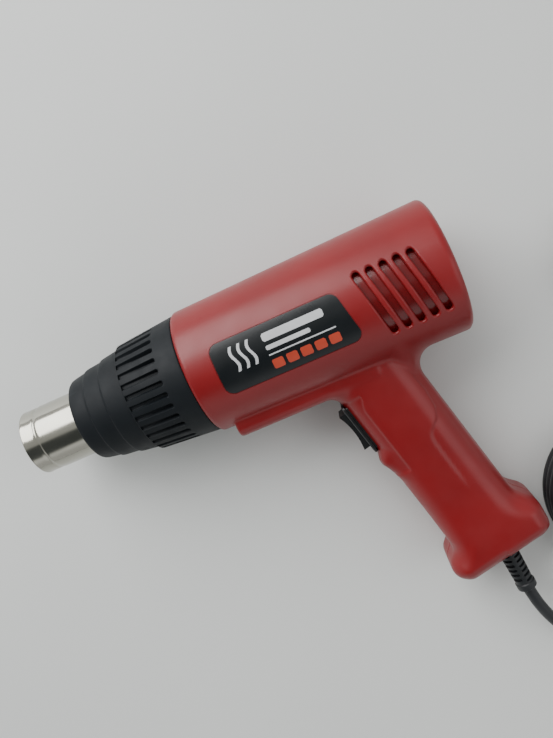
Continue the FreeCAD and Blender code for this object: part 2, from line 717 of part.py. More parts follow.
# ---------------------------------------------------------------- cord
def build_boot_and_clamp():
    length = size("boot_length")
    core = rod("boot_core", 4.6, length + 4.4, BOOT_BASE - BOOT_WAY * 4.4, BOOT_WAY)
    cone = doc.addObject("Part::Cone", "boot_taper")
    bind(cone, Radius1="boot_radius + 0.3", Radius2="boot_radius - 0.7", Height="boot_length")
    cone.Placement = Placement(BOOT_BASE, Rotation(Vector(0, 0, 1), BOOT_WAY))
    head = rod("boot_inner_flange", 7.0, 2.4, BOOT_BASE - BOOT_WAY * 6.6, BOOT_WAY)
    tail = rod("boot_tail", 4.7, 3, BOOT_BASE + BOOT_WAY * (length - 3), BOOT_WAY)
    bore = rod("boot_bore", "cord_radius + 0.05", length + 20, BOOT_BASE - BOOT_WAY * 10, BOOT_WAY)
    notches = []
    for index in range(6):
        distance = 4.2 + 3.4 * index
        for side in (-1, 1):
            stagger = 0.85 * side
            across = Vector(-BOOT_WAY.y, BOOT_WAY.x, 0)
            turn = Rotation(Vector(1, 0, 0), across)
            corner = BOOT_BASE + BOOT_WAY * (distance + stagger) + across * (3.7 if side > 0 else -6.7)
            notches.append(block("boot_notch_%d_%d" % (index + 1, side + 2), 3, 1.3, 14,
                                 corner + Vector(0, 0, -7), turn))
    finish_piece(cut("boot_piece", fuse("boot_blank", [core, cone, head, tail]), [bore] + notches),
                 "cord_boot")
    bar_height = 3.0
    bar = block("clamp_bar", 21, 6, bar_height, CLAMP_MIDDLE + Vector(-10.5, -3, size("cord_radius")))
    holes = [rod("clamp_hole_%d" % number, CLAMP_SHANK, 8, CLAMP_MIDDLE + Vector(offset, 0, 0))
             for number, offset in enumerate(CLAMP_OFFSETS, start=1)]
    finish_piece(cut("clamp_piece", bar, holes), "cable_clamp")
    screws = []
    for number, offset in enumerate(CLAMP_OFFSETS, start=1):
        spot = CLAMP_MIDDLE + Vector(offset, 0, size("cord_radius") + bar_height)
        shank = rod("clamp_shank_%d" % number, CLAMP_SHANK, 10.0, spot + Vector(0, 0, -9.5))
        head = rod("clamp_head_%d" % number, 2.7, 2.0, spot)
        screws.append(fuse("clamp_screw_%d" % number, [shank, head]))
    finish_piece(group("clamp_screws_all", screws), "clamp_screws")


# ---------------------------------------------------------------- free cord, in the floor's frame
# The floor's frame has the tool's X and Y origin, with Z measured up from the floor.
ROLL = Rotation(Vector(1, 0, 0), size("roll"))
FLOOR_LIFT = size("barrel_rear_radius")
COIL_CENTRE = Vector(279.5, -151.0, 0)
PLUG_ENTRY = Vector(313.0, -88.0, 12.7)


def to_floor(point):
    """A point of the lying tool, in the floor's frame."""
    return ROLL.multVec(point) + Vector(0, 0, FLOOR_LIFT)


def around_coil(degrees, radius, height):
    """A point at an angle round the coil."""
    angle = math.radians(degrees)
    return COIL_CENTRE + Vector(radius * math.cos(angle), radius * math.sin(angle), height)


def free_tube(name, route):
    """A cord along its route, with the bends as wide as its runs allow."""
    radii = largest_arcs(route)
    tube = tube_along(route, size("cord_radius"), radii)[0]
    finish_piece(shaped(name + "_tube", tube), name, on_floor=True)


def build_cord():
    boot_end = BOOT_BASE + BOOT_WAY * size("boot_length")
    free_tube("power_cord", [
        to_floor(BOOT_BASE - BOOT_WAY * 26),
        to_floor(BOOT_BASE + BOOT_WAY * 4 + Vector(0.05, 0, 0)),
        to_floor(boot_end + BOOT_WAY * 14),
        Vector(222.0, -217.0, 13.0),
        Vector(242.5, -232.0, 7.6),
        Vector(265.5, -236.0, 4.6),
        Vector(288.0, -229.5, 3.9),
        Vector(304.5, -212.5, 3.8),
        Vector(318.0, -188.0, 3.8),
        around_coil(-12, 40.8, 4.4),
    ])
    free_tube("plug_cord", [
        around_coil(22, 40.8, 16.4),
        Vector(313.0, -117.0, 12.7),
        PLUG_ENTRY,
    ])


def build_coil():
    ring = doc.addObject("Part::Cylinder", "coil_round")
    bind(ring, Radius="coil_outer_radius", Height="coil_height")
    ring.Placement = Placement(COIL_CENTRE + Vector(0, 0, 0.9), Rotation())
    eye = doc.addObject("Part::Cylinder", "coil_eye")
    bind(eye, Radius="coil_inner_radius", Height="coil_height + 4")
    eye.Placement = Placement(COIL_CENTRE - Vector(0, 0, 1), Rotation())
    finish_piece(cut("coil_piece", ring, [eye]), "cord_coil", on_floor=True)

    wide = size("coil_outer_radius") - size("coil_inner_radius")
    turn = Rotation(Vector(0, 0, 1), 235)
    inner = turn.multVec(Vector(size("coil_inner_radius") - 0.1, -4, 0.9)) + COIL_CENTRE
    outer = turn.multVec(Vector(size("coil_inner_radius") - 0.9, -4, 0)) + COIL_CENTRE
    strap = block("tie_outside", wide + 2.1, 8, "coil_height + 1.8", outer, turn)
    room = block("tie_inside", wide + 0.5, 12, "coil_height + 0.05",
                 inner - turn.multVec(Vector(0, 2, 0)), turn)
    finish_piece(cut("tie_piece", strap, [room]), "cord_tie", on_floor=True)


def plug_section(distance, half_width, half_height, corner):
    """A rounded rectangle across the plug, at a distance from where the cord goes in."""
    points = [
        Vector(half_width, 0, half_height),
        Vector(half_width, 0, -half_height),
        Vector(-half_width, 0, -half_height),
        Vector(-half_width, 0, half_height),
    ]
    outline = rounded_outline(points, [corner] * 4)
    outline.translate(PLUG_ENTRY + Vector(0, distance, 0))
    return outline


def build_plug():
    sleeve = rod("plug_sleeve_round", 4.6, 24, PLUG_ENTRY, Vector(0, 1, 0))
    finish_piece(sleeve, "plug_sleeve", on_floor=True)
    taper = Part.makeLoft([plug_section(24, 9.0, 8.0, 5.0), plug_section(52, 17.5, 12.6, 8.0)], True)
    front = Part.Face(plug_section(52, 17.5, 12.6, 8.0)).extrude(Vector(0, 14, 0))
    finish_piece(shaped("plug_body_piece", taper.fuse(front).removeSplitter()), "plug_body", on_floor=True)
    pins = [rod("plug_pin_%d" % number, 2.4, 19, PLUG_ENTRY + Vector(offset, 66, 0), Vector(0, 1, 0))
            for number, offset in enumerate((-9.5, 9.5), start=1)]
    finish_piece(group("plug_pins_both", pins), "plug_pins", on_floor=True)


build_housing()
build_labels()
build_baffles()
build_screws()
build_nozzle()
build_collar()
build_heater()
build_duct()
build_carrier()
build_motor()
build_rotor()
build_electrics()
build_switch()
build_boot_and_clamp()
build_cord()
build_coil()
build_plug()
doc.recompute()

# ---------------------------------------------------------------- placement, checks and export
def place_piece(node, frame):
    """Carry a piece from the frame it was modelled in to the part's own frame."""
    for prop, expression in node.ExpressionEngine:
        if prop.startswith(".Placement"):
            node.setExpression(prop, None)
    node.Placement = frame.multiply(node.Placement)


TO_ORIGIN = Vector(-116.5, 72.7, 0)
LYING = Placement(TO_ORIGIN + Vector(0, 0, FLOOR_LIFT), ROLL)
ON_FLOOR = Placement(TO_ORIGIN, Rotation())
for node in TOOL_NODES:
    place_piece(node, LYING)
for node in FLOOR_NODES:
    place_piece(node, ON_FLOOR)
NODES = TOOL_NODES + FLOOR_NODES
doc.recompute()

for thing in doc.Objects:
    if "Invalid" in thing.State or "Error" in thing.State:
        raise RuntimeError("%s did not build: %s" % (thing.Name, thing.State))
for node in NODES:
    if node.Shape.isNull() or not node.Shape.isValid():
        raise RuntimeError("%s has no valid shape" % node.Label)

os.makedirs("parts", exist_ok=True)
for node in NODES:
    node.Shape.exportStep("parts/%s.step" % node.Label)
    box = node.Shape.BoundBox
    print("%-18s %d solids %9.1f mm3  z %.2f"
          % (node.Label, len(node.Shape.Solids), node.Shape.Volume, box.ZMin))
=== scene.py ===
import json
import math

import bmesh
import bpy
import numpy as np
from mathutils import Matrix, Vector


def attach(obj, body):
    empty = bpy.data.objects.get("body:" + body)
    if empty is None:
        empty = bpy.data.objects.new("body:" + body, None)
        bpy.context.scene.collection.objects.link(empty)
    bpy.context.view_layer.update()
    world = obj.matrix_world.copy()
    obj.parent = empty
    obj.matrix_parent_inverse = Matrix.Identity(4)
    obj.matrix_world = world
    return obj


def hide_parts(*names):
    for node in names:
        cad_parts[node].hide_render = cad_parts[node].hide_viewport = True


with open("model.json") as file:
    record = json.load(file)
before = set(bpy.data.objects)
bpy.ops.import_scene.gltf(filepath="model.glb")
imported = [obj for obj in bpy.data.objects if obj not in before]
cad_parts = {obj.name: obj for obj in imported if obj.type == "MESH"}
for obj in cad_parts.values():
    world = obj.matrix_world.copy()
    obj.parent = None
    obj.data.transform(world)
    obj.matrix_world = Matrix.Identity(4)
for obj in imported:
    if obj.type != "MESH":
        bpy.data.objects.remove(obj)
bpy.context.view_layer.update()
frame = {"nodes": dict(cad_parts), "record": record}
MM = 0.001

# ---------- frames
# The tool's own frame: barrel axis X from the nozzle's mouth to the rear, Y up through the barrel,
# Z out of the left side. The record says how the tool lies: the rocker turns about the tool's Z.
RECORD = frame["record"]
MOUNTS = {mount["name"]: mount for mount in RECORD["mounts"]}
JOINTS = {joint["name"]: joint for joint in RECORD["behaviour"]["joints"]}
TOOL_Z = Vector(JOINTS["rocker_tilt"]["axis"]).normalized()
TOOL_X = Vector(MOUNTS["rear_face"]["axis"]).normalized()
TOOL_Y = TOOL_Z.cross(TOOL_X)
TURN = Matrix((TOOL_X, TOOL_Y, TOOL_Z)).transposed()
LENGTH = 233.0
MOUTH = Vector(MOUNTS["rear_face"]["pos_m"]) - TOOL_X * LENGTH * MM
TOOL = Matrix.Translation(MOUTH) @ TURN.to_4x4() @ Matrix.Scale(MM, 4)
FLOOR = Matrix.Translation((MOUTH.x, MOUTH.y, 0.0)) @ Matrix.Scale(MM, 4)


# ---------- camera
def make_camera():
    """Above the tool's left side, turned so that the barrel rises to the right."""
    barrel_climb = math.radians(23.45)
    rear_towards = math.radians(7.0)
    roll_seen = math.radians(9.5)
    mouth_seen = Vector((-128.0, 39.4, 377.0))
    focal_pixels, frame_pixels = 700.0, 738.0
    along = Vector((math.cos(barrel_climb) * math.cos(rear_towards),
                    -math.sin(barrel_climb) * math.cos(rear_towards), -math.sin(rear_towards)))
    facing = Vector((0, 0, -1))
    facing = (facing - along * facing.dot(along)).normalized()
    above = facing.cross(along)
    left = facing * math.cos(roll_seen) - above * math.sin(roll_seen)
    up = left.cross(along)
    tool_from_view = Matrix((along, up, left))
    data = bpy.data.cameras.new("camera")
    data.sensor_width = 36.0
    data.lens = focal_pixels / frame_pixels * data.sensor_width
    data.clip_start = 0.01
    camera = bpy.data.objects.new("camera", data)
    bpy.context.scene.collection.objects.link(camera)
    matrix = (TURN @ tool_from_view @ Matrix.Diagonal((1, -1, -1))).to_4x4()
    matrix.translation = TOOL @ -(tool_from_view @ mouth_seen)
    camera.matrix_world = matrix
    bpy.context.scene.camera = camera


make_camera()

# ---------- cord
def ease(value, low, high):
    """0 below low, 1 above high and smooth between."""
    share = np.clip((value - low) / (high - low), 0.0, 1.0)
    return share * share * (3 - 2 * share)


CORD_RADIUS = 3.2
COIL_CENTRE = Vector((279.5, -151.0, 0.0))
BOOT_BASE = Vector((206.7, -153.4, 0.0))
BOOT_WAY = Vector((0.103, -0.995, 0.0)).normalized()
BOOT_LENGTH = 27.0
PLUG_ENTRY = Vector((313.0, -88.0, 12.7))


def tool_to_floor(point):
    """A point of the tool's frame, in the floor's frame."""
    return FLOOR.inverted() @ (TOOL @ point)


def around_coil(degrees, radius, height):
    """A point on the floor's frame, round the coil's middle."""
    angle = math.radians(degrees)
    return COIL_CENTRE + Vector((radius * math.cos(angle), radius * math.sin(angle), height))


def coil_turns():
    """Seven turns, three deep and three high, each a diameter beside the last."""
    step = 2 * CORD_RADIUS + 0.05
    middle = 34.0
    columns = [middle + step * offset for offset in (1, 0, -1)]
    lows = [0.9 + CORD_RADIUS + 0.1 + step * level for level in range(3)]
    lanes = [(columns[0], lows[0]), (columns[1], lows[0]), (columns[2], lows[0]),
             (columns[2], lows[1]), (columns[1], lows[1]), (columns[0], lows[1]),
             (columns[0], lows[2]), (columns[0], lows[2])]
    per_turn = 14
    points = []
    start = 8.0
    for turn, (radius, height) in enumerate(lanes[:-1]):
        following = lanes[turn + 1]
        for step_index in range(per_turn):
            share = step_index / per_turn
            blend = float(ease(np.array(share), 0.72, 1.0))
            points.append(around_coil(start + 360.0 * (turn + share),
                                      radius + (following[0] - radius) * blend,
                                      height + (following[1] - height) * blend))
    return points


def make_cord():
    """The cord as a tube along its route, and the points of its line."""
    boot_end = BOOT_BASE + BOOT_WAY * BOOT_LENGTH
    route = [
        tool_to_floor(boot_end),
        tool_to_floor(boot_end + BOOT_WAY * 14),
        Vector((222.0, -217.0, 13.0)),
        Vector((242.5, -232.0, 7.6)),
        Vector((265.5, -236.0, 4.6)),
        Vector((288.0, -229.5, 3.9)),
        Vector((304.5, -212.5, 3.8)),
        Vector((318.0, -188.0, 3.8)),
        around_coil(-14, 41.2, 4.2),
    ]
    route += coil_turns()
    route += [
        around_coil(8, 40.4, 17.0),
        Vector((313.0, -117.0, 12.7)),
        PLUG_ENTRY,
    ]
    curve = bpy.data.curves.new("power_cord_line", "CURVE")
    curve.dimensions = "3D"
    spline = curve.splines.new("NURBS")
    spline.points.add(len(route) - 1)
    for control, point in zip(spline.points, route):
        place = FLOOR @ point
        control.co = (place.x, place.y, place.z, 1.0)
    spline.order_u = 3
    spline.use_endpoint_u = True
    curve.resolution_u = 8
    line = bpy.data.objects.new("power_cord_line", curve)
    path = [tuple(vertex.co) for vertex in bpy.data.meshes.new_from_object(line).vertices]
    curve.bevel_depth = CORD_RADIUS * MM
    curve.bevel_resolution = 6
    curve.use_fill_caps = True
    tube = bpy.data.meshes.new_from_object(line)
    tube.shade_smooth()
    bpy.data.objects.remove(line)
    cord = bpy.data.objects.new("mains_cord", tube)
    bpy.context.scene.collection.objects.link(cord)
    return cord, path


cord, cord_path = make_cord()
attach(cord, "housing")
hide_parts("power_cord", "plug_cord", "cord_coil")


# ---------- mesh tools
def face_outward(mesh, sharp=None):
    """Turns every face outward and, given an angle in degrees, keeps edges sharper than it crisp."""
    work = bmesh.new()
    work.from_mesh(mesh)
    bmesh.ops.recalc_face_normals(work, faces=work.faces)
    if sharp:
        for edge in work.edges:
            if len(edge.link_faces) == 2:
                edge.smooth = edge.calc_face_angle(0.0) < math.radians(sharp)
    work.to_mesh(mesh)
    work.free()


def give(piece, material):
    """Makes the material a piece's only one."""
    piece.data.materials.clear()
    piece.data.materials.append(material)


def add_mesh(name, points, faces, slot, stands_for=(), body="housing", placing=TOOL, sharp=None):
    """A new smooth piece of the row's frame, from millimetres in the tool's frame or the floor's."""
    mesh = bpy.data.meshes.new(name)
    mesh.from_pydata([tuple(point) for point in points], [], [tuple(face) for face in faces])
    mesh.transform(placing)
    mesh.update()
    mesh.shade_smooth()
    if sharp:
        face_outward(mesh, sharp)
    piece = bpy.data.objects.new(name, mesh)
    bpy.context.scene.collection.objects.link(piece)
    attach(piece, body)
    give(piece, SURFACES[slot])
    if stands_for:
        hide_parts(*stands_for)
    return piece


def circle(count):
    """The cosine and sine of evenly spaced angles, all the way round."""
    angles = [2 * math.pi * step / count for step in range(count)]
    return [(math.cos(angle), math.sin(angle)) for angle in angles]


def ring_faces(rings, count, closed=False, capped=True):
    """Faces between rings of equal count laid one after another."""
    faces = []
    for level in range(rings if closed else rings - 1):
        low, high = level * count, ((level + 1) % rings) * count
        for index in range(count):
            after = (index + 1) % count
            faces.append((low + index, low + after, high + after, high + index))
    if capped and not closed:
        faces.append(tuple(range(count)))
        faces.append(tuple((rings - 1) * count + index for index in range(count)))
    return faces


def loft(loops):
    """Points and faces through rings of equal count, both ends closed by fans."""
    count = len(loops[0])
    points = [tuple(point) for loop in loops for point in loop]
    faces = ring_faces(len(loops), count, capped=False)
    for start in (0, (len(loops) - 1) * count):
        points.append(tuple(np.mean(np.array(points[start:start + count]), axis=0)))
        faces += [(start + index, start + (index + 1) % count, len(points) - 1) for index in range(count)]
    return points, faces


def revolved(name, profile, steps, slot, stands_for, shape=None):
    """A ring turned about the tool's axis from a closed profile of (x, radius) points."""
    points = []
    for step in range(steps):
        angle = 2 * math.pi * step / steps
        for x, radius in profile:
            reach = radius if shape is None else shape(x, radius, angle)
            points.append((x, reach * math.cos(angle), reach * math.sin(angle)))
    return add_mesh(name, points, ring_faces(steps, len(profile), closed=True), slot, stands_for, sharp=50)


# ---------- fields


def union_round(first, second, radius):
    """Two distance fields joined with a round fillet between them."""
    near_first = np.maximum(radius - first, 0.0)
    near_second = np.maximum(radius - second, 0.0)
    return np.maximum(radius, np.minimum(first, second)) - np.hypot(near_first, near_second)


def meet_round(first, second, radius):
    """What two distance fields share, with the edge between them rounded."""
    over_first = np.maximum(radius + first, 0.0)
    over_second = np.maximum(radius + second, 0.0)
    return np.minimum(-radius, np.maximum(first, second)) + np.hypot(over_first, over_second)


def uneven_capsule(px, py, first, second):
    """Distance in a plane to the hull of two circles, each (x, y, radius)."""
    ax, ay, ra = first
    bx, by, rb = second
    dx, dy = bx - ax, by - ay
    square = dx * dx + dy * dy
    qx = np.abs(((px - ax) * dy - (py - ay) * dx) / square)
    qy = ((px - ax) * dx + (py - ay) * dy) / square
    lean = ra - rb
    cx = math.sqrt(square - lean * lean)
    cross = cx * qy - lean * qx
    dot = cx * qx + lean * qy
    size = qx * qx + qy * qy
    at_first = np.sqrt(square * size) - ra
    at_second = np.sqrt(np.maximum(square * (size + 1 - 2 * qy), 0)) - rb
    return np.where(cross < 0, at_first, np.where(cross > cx, at_second, dot - ra))


def surface_net(field, low, high, step):
    """A quad mesh of a field's zero surface on a regular grid, pulled onto the true surface."""
    axes = [np.arange(a, b + step, step) for a, b in zip(low, high)]
    grid = np.meshgrid(*axes, indexing="ij")
    values = field(*grid)
    inside = values < 0
    shape = tuple(n - 1 for n in values.shape)
    total = np.zeros(shape + (3,))
    count = np.zeros(shape)
    corners = [(i, j, k) for i in (0, 1) for j in (0, 1) for k in (0, 1)]
    for index, one in enumerate(corners):
        for other in corners[index + 1:]:
            if sum(abs(a - b) for a, b in zip(one, other)) != 1:
                continue
            cut_one = tuple(slice(c, c + n) for c, n in zip(one, shape))
            cut_other = tuple(slice(c, c + n) for c, n in zip(other, shape))
            first, second = values[cut_one], values[cut_other]
            crossing = inside[cut_one] != inside[cut_other]
            share = np.where(crossing, first / np.where(crossing, first - second, 1.0), 0.0)
            for axis in range(3):
                place = one[axis] + (other[axis] - one[axis]) * share
                total[..., axis] += np.where(crossing, place, 0.0)
            count += crossing
    active = count > 0
    number = np.full(shape, -1)
    number[active] = np.arange(active.sum())
    where = np.argwhere(active)
    points = (where + total[active] / count[active][:, None]) * step + np.array(low)
    faces = []
    for axis in range(3):
        other = [a for a in range(3) if a != axis]
        here, there = [inside[tuple(part if a == axis else slice(1, -1) for a in range(3))]
                       for part in (slice(0, -1), slice(1, None))]
        for flip, mask in ((False, here & ~there), (True, ~here & there)):
            cells = np.argwhere(mask)
            cells[:, other] += 1
            ring = []
            for shift in ((-1, -1), (0, -1), (0, 0), (-1, 0)):
                spot = cells.copy()
                spot[:, other] += shift
                ring.append(number[tuple(spot.T)])
            quad = np.stack(ring, 1)
            faces.append(quad[:, ::-1] if flip == (axis != 1) else quad)
    faces = np.concatenate(faces)
    faces = faces[(faces >= 0).all(axis=1)]
    settled = pull_to(field, points, 0.0)
    strayed = np.linalg.norm(settled - points, axis=1) > 1.5 * step
    settled[strayed] = points[strayed]
    return settled, faces


def slope(field, points):
    """The field's gradient at each point."""
    reach = 0.02
    parts = []
    for axis in range(3):
        shift = np.zeros(3)
        shift[axis] = reach
        ahead = field(*(points + shift).T)
        behind = field(*(points - shift).T)
        parts.append((ahead - behind) / (2 * reach))
    return np.stack(parts, 1)


def pull_to(field, points, level):
    """Moves points along the field's slope until the field reads level there."""
    for _ in range(6):
        way = slope(field, points)
        size = np.maximum((way * way).sum(1), 0.05)
        points = points - way * ((field(*points.T) - level) / size)[:, None]
    return points


# ---------- housing
HOUSING_STEP = 1.0
SLANT = math.radians(14.0)
GRIP_FRONT, GRIP_BACK = 142.2, 184.7
GRIP_MIDDLE, GRIP_HALF_DEPTH = (GRIP_FRONT + GRIP_BACK) / 2, (GRIP_BACK - GRIP_FRONT) / 2
GRIP_HALF_WIDTH = 17.5
GRIP_CORNER = 12.5
SHAFT_END = 190.0
BUTT_FLARE = 3.2
FINGER_REST = (118.8, 146.4, 6.9), (128.0, 150.0, 7.0)
PANEL_STEP, PAD_STEP = 0.55, 0.65
BARREL_FRONT, BARREL_REAR = 96.0, 233.0


def to_grip(x, y):
    """How far down the grip and how far back a point lies."""
    return x * math.sin(SLANT) - y * math.cos(SLANT), x * math.cos(SLANT) + y * math.sin(SLANT)


def barrel_radius(x):
    """The barrel widens a little towards the rear."""
    return 33.2 + 1.6 * (x - 98.5) / 131.5


def barrel_field(x, y, z):
    """The barrel with its rounded ends and the shallow dish in its rear."""
    around = np.hypot(y, z)
    back = meet_round(around - barrel_radius(x), x - BARREL_REAR, 3.2)
    rear_dish = meet_round(around - 27.5, BARREL_REAR - 1.0 - x, 0.5)
    body = np.maximum(back, -rear_dish)
    return meet_round(body, BARREL_FRONT - x, 2.2)


def rib_field(x, y, z):
    """The rib under the barrel, from its front end to inside the grip."""
    bottom, front, inside_grip, inside_barrel = -38.2, 104.8, 182, -12
    section = meet_round(bottom - y, np.abs(z) - GRIP_HALF_WIDTH, 6.0)
    section = np.maximum(section, y - inside_barrel)
    ends = np.maximum(front - x, x - inside_grip)
    return meet_round(section, ends, 1.6)


BUTT_CORNERS = np.array([(188.6, 141.8), (189.8, 143.0), (189.6, 182.6), (183.4, 183.6)])
BUTT_ROUND = 7.5


def polygon_distance(px, py, corners):
    """Distance to a convex polygon, negative inside."""
    middle = corners.mean(axis=0)
    inside = np.full(px.shape, -1e9)
    outside = np.full(px.shape, 1e9)
    for index, corner in enumerate(corners):
        after = corners[(index + 1) % len(corners)]
        run = after - corner
        normal = np.array([run[1], -run[0]]) / np.linalg.norm(run)
        if (middle - corner) @ normal > 0:
            normal = -normal
        inside = np.maximum(inside, (px - corner[0]) * normal[0] + (py - corner[1]) * normal[1])
        share = np.clip(((px - corner[0]) * run[0] + (py - corner[1]) * run[1]) / (run @ run), 0, 1)
        beside, beyond = px - corner[0] - run[0] * share, py - corner[1] - run[1] * share
        outside = np.minimum(outside, np.hypot(beside, beyond))
    return np.where(inside > 0, outside, inside)


def handle_field(x, y, z):
    """The grip and its butt: one outline, as wide as its place along the grip says."""
    down, back = to_grip(x, y)
    from_middle = back - GRIP_MIDDLE
    share = from_middle / GRIP_HALF_DEPTH
    shaft = np.maximum(np.abs(from_middle) - GRIP_HALF_DEPTH, down - SHAFT_END)
    butt = polygon_distance(down, back, BUTT_CORNERS) - BUTT_ROUND
    outline = union_round(shaft, butt, np.where(from_middle > 0, 9.0, 5.0))
    crown = 1.3 * share * share * (1 - ease(down, 150.0, 180.0))
    width = GRIP_HALF_WIDTH + 0.4 + BUTT_FLARE * ease(down, 150.0, SHAFT_END)
    corner = GRIP_CORNER - 2.0 * ease(down, 165.0, SHAFT_END)
    inside_barrel = y + 8.0
    return np.maximum(meet_round(outline, np.abs(z) - width + crown, corner), inside_barrel)


def thumb_line(down):
    """Where the crease behind the side panel runs, as a distance back, for each distance down."""
    return np.interp(down, [86, 98, 108, 112.5, 116.5, 120, 127, 155],
                     [179.5, 180.6, 179.4, 176.8, 170.6, 168.6, 168.2, 168.2])


def housing_field(x, y, z):
    """The whole housing's outside: barrel, rib, handle and finger rest, with the panels' steps."""
    down, back = to_grip(x, y)
    across = np.abs(z)
    share = (back - GRIP_MIDDLE) / GRIP_HALF_DEPTH
    fillet = 2.0 + ease(np.abs(share), 0.55, 0.98) * np.where(share > 0, 11.0, 5.0)
    body = union_round(barrel_field(x, y, z), rib_field(x, y, z), 0.8)
    body = union_round(body, handle_field(x, y, z), fillet)
    rest = uneven_capsule(down, back, *FINGER_REST)
    body = union_round(body, meet_round(rest, across - 13.5, 5.0), 2.2)
    panel_fade = ease(down, 84, 92) * (1 - ease(down, 138, 156)) * ease(across, 9.0, 12.0)
    body = body + PANEL_STEP * ease(back - thumb_line(down), -0.4, 0.4) * panel_fade
    pad_edge = 150.2 + 3.2 * (1 - ease(down, 80, 90))
    pad_fade = ease(down, 80, 82) * (1 - ease(down, 127, 128)) * ease(across, 6.0, 9.0)
    return body + PAD_STEP * (1 - ease(back - pad_edge, -0.35, 0.35)) * pad_fade


def border_edges(faces):
    """The border edges of a face list, as directed pairs."""
    pairs = dict.fromkeys((vertex, face[(index + 1) % len(face)])
                          for face in faces for index, vertex in enumerate(face))
    return [pair for pair in pairs if pair[::-1] not in pairs]


def cut_flat(points, faces, axis, level, drop_below=True):
    """Cuts a mesh along a plane across one axis and drops the side below it, if asked to."""
    work = bmesh.new()
    verts = [work.verts.new(point) for point in points]
    for face in faces:
        work.faces.new([verts[i] for i in face])
    normal, plane = Vector((0, 0, 0)), Vector((0, 0, 0))
    normal[axis] = 1.0
    plane[axis] = level
    geometry = list(work.verts) + list(work.edges) + list(work.faces)
    bmesh.ops.bisect_plane(work, geom=geometry, plane_co=plane, plane_no=normal, dist=0.02,
                           clear_inner=drop_below)
    work.verts.index_update()
    out_points = np.array([tuple(vert.co) for vert in work.verts])
    out_faces = [tuple(vert.index for vert in face.verts) for face in work.faces]
    work.free()
    return out_points, out_faces


def housing_shell(side):
    """One half of the housing as a closed shell: outside, inside and the rims between."""
    wall = 2.4
    seam_strip, front_plane = 0.4, BARREL_FRONT + 0.05
    points, faces = surface_net(housing_field, (93.0, -163.0, -2.0), (236.0, 37.5, 37.5), HOUSING_STEP)
    points, faces = cut_flat(points, faces, 2, 0.0)
    points, faces = cut_flat(points, faces, 0, front_plane)
    points, faces = cut_flat(points, faces, 2, seam_strip, drop_below=False)
    way = slope(housing_field, points)
    inner = pull_to(housing_field, points - way * wall / 2, -wall)
    strayed = np.linalg.norm(inner - points, axis=1) > 2.5 * wall
    inner[strayed] = (points - way * wall)[strayed]
    at_seam = points[:, 2] < 0.03
    inner[at_seam, 2] = 0.0
    inner[points[:, 0] < front_plane + 0.03, 0] = front_plane
    points[at_seam, :2] = (points[at_seam] - way[at_seam] * 0.3)[:, :2]
    count = len(points)
    all_points = np.concatenate([points, inner])
    all_faces = [tuple(face) for face in faces]
    all_faces += [tuple(i + count for i in reversed(face)) for face in faces]
    all_faces += [(b, a, a + count, b + count) for a, b in border_edges(faces)]
    if side == "right":
        all_points = all_points * np.array([1, 1, -1])
        all_faces = [tuple(reversed(face)) for face in all_faces]
    return all_points, all_faces


def bevelled(piece, width):
    """Rounds a piece's sharp edges, width in millimetres."""
    modifier = piece.modifiers.new("round_edges", "BEVEL")
    modifier.width = width * MM
    modifier.segments = 3
    modifier.limit_method = "ANGLE"
    modifier.angle_limit = math.radians(40)
    modifier.harden_normals = True


# ---------- materials
def add_node(tree, kind, **constants):
    """A node whose named sockets hold constants, an underscore in a name standing for a space."""
    node = tree.nodes.new(kind)
    for socket, value in constants.items():
        node.inputs[socket.replace("_", " ")].default_value = value
    return node


def noise(tree, place, scale, detail):
    """Grey noise over coordinates."""
    texture = add_node(tree, "ShaderNodeTexNoise", Scale=scale, Detail=detail)
    tree.links.new(place, texture.inputs["Vector"])
    return texture.outputs["Fac"]


def ranged(tree, value, **limits):
    """A value taken from one range to another, and held at the range's ends."""
    node = add_node(tree, "ShaderNodeMapRange", **limits)
    tree.links.new(value, node.inputs["Value"])
    return node.outputs["Result"]


def ramped(tree, value, stops):
    """A colour ramp over a value, its stops given as (place, colour)."""
    node = tree.nodes.new("ShaderNodeValToRGB")
    elements = node.color_ramp.elements
    while len(elements) < len(stops):
        elements.new(0.5)
    for element, (place, tone) in zip(elements, stops):
        element.position = place
        element.color = tone
    tree.links.new(value, node.inputs["Fac"])
    return node.outputs["Color"]


def mixed(tree, share, first, second):
    """Two colours mixed by a share, each of them a socket or a constant."""
    node = tree.nodes.new("ShaderNodeMix")
    node.data_type = "RGBA"
    tree.links.new(share, node.inputs[0])
    for socket, colour in ((node.inputs[6], first), (node.inputs[7], second)):
        if isinstance(colour, tuple):
            socket.default_value = colour
        else:
            tree.links.new(colour, socket)
    return node.outputs[2]


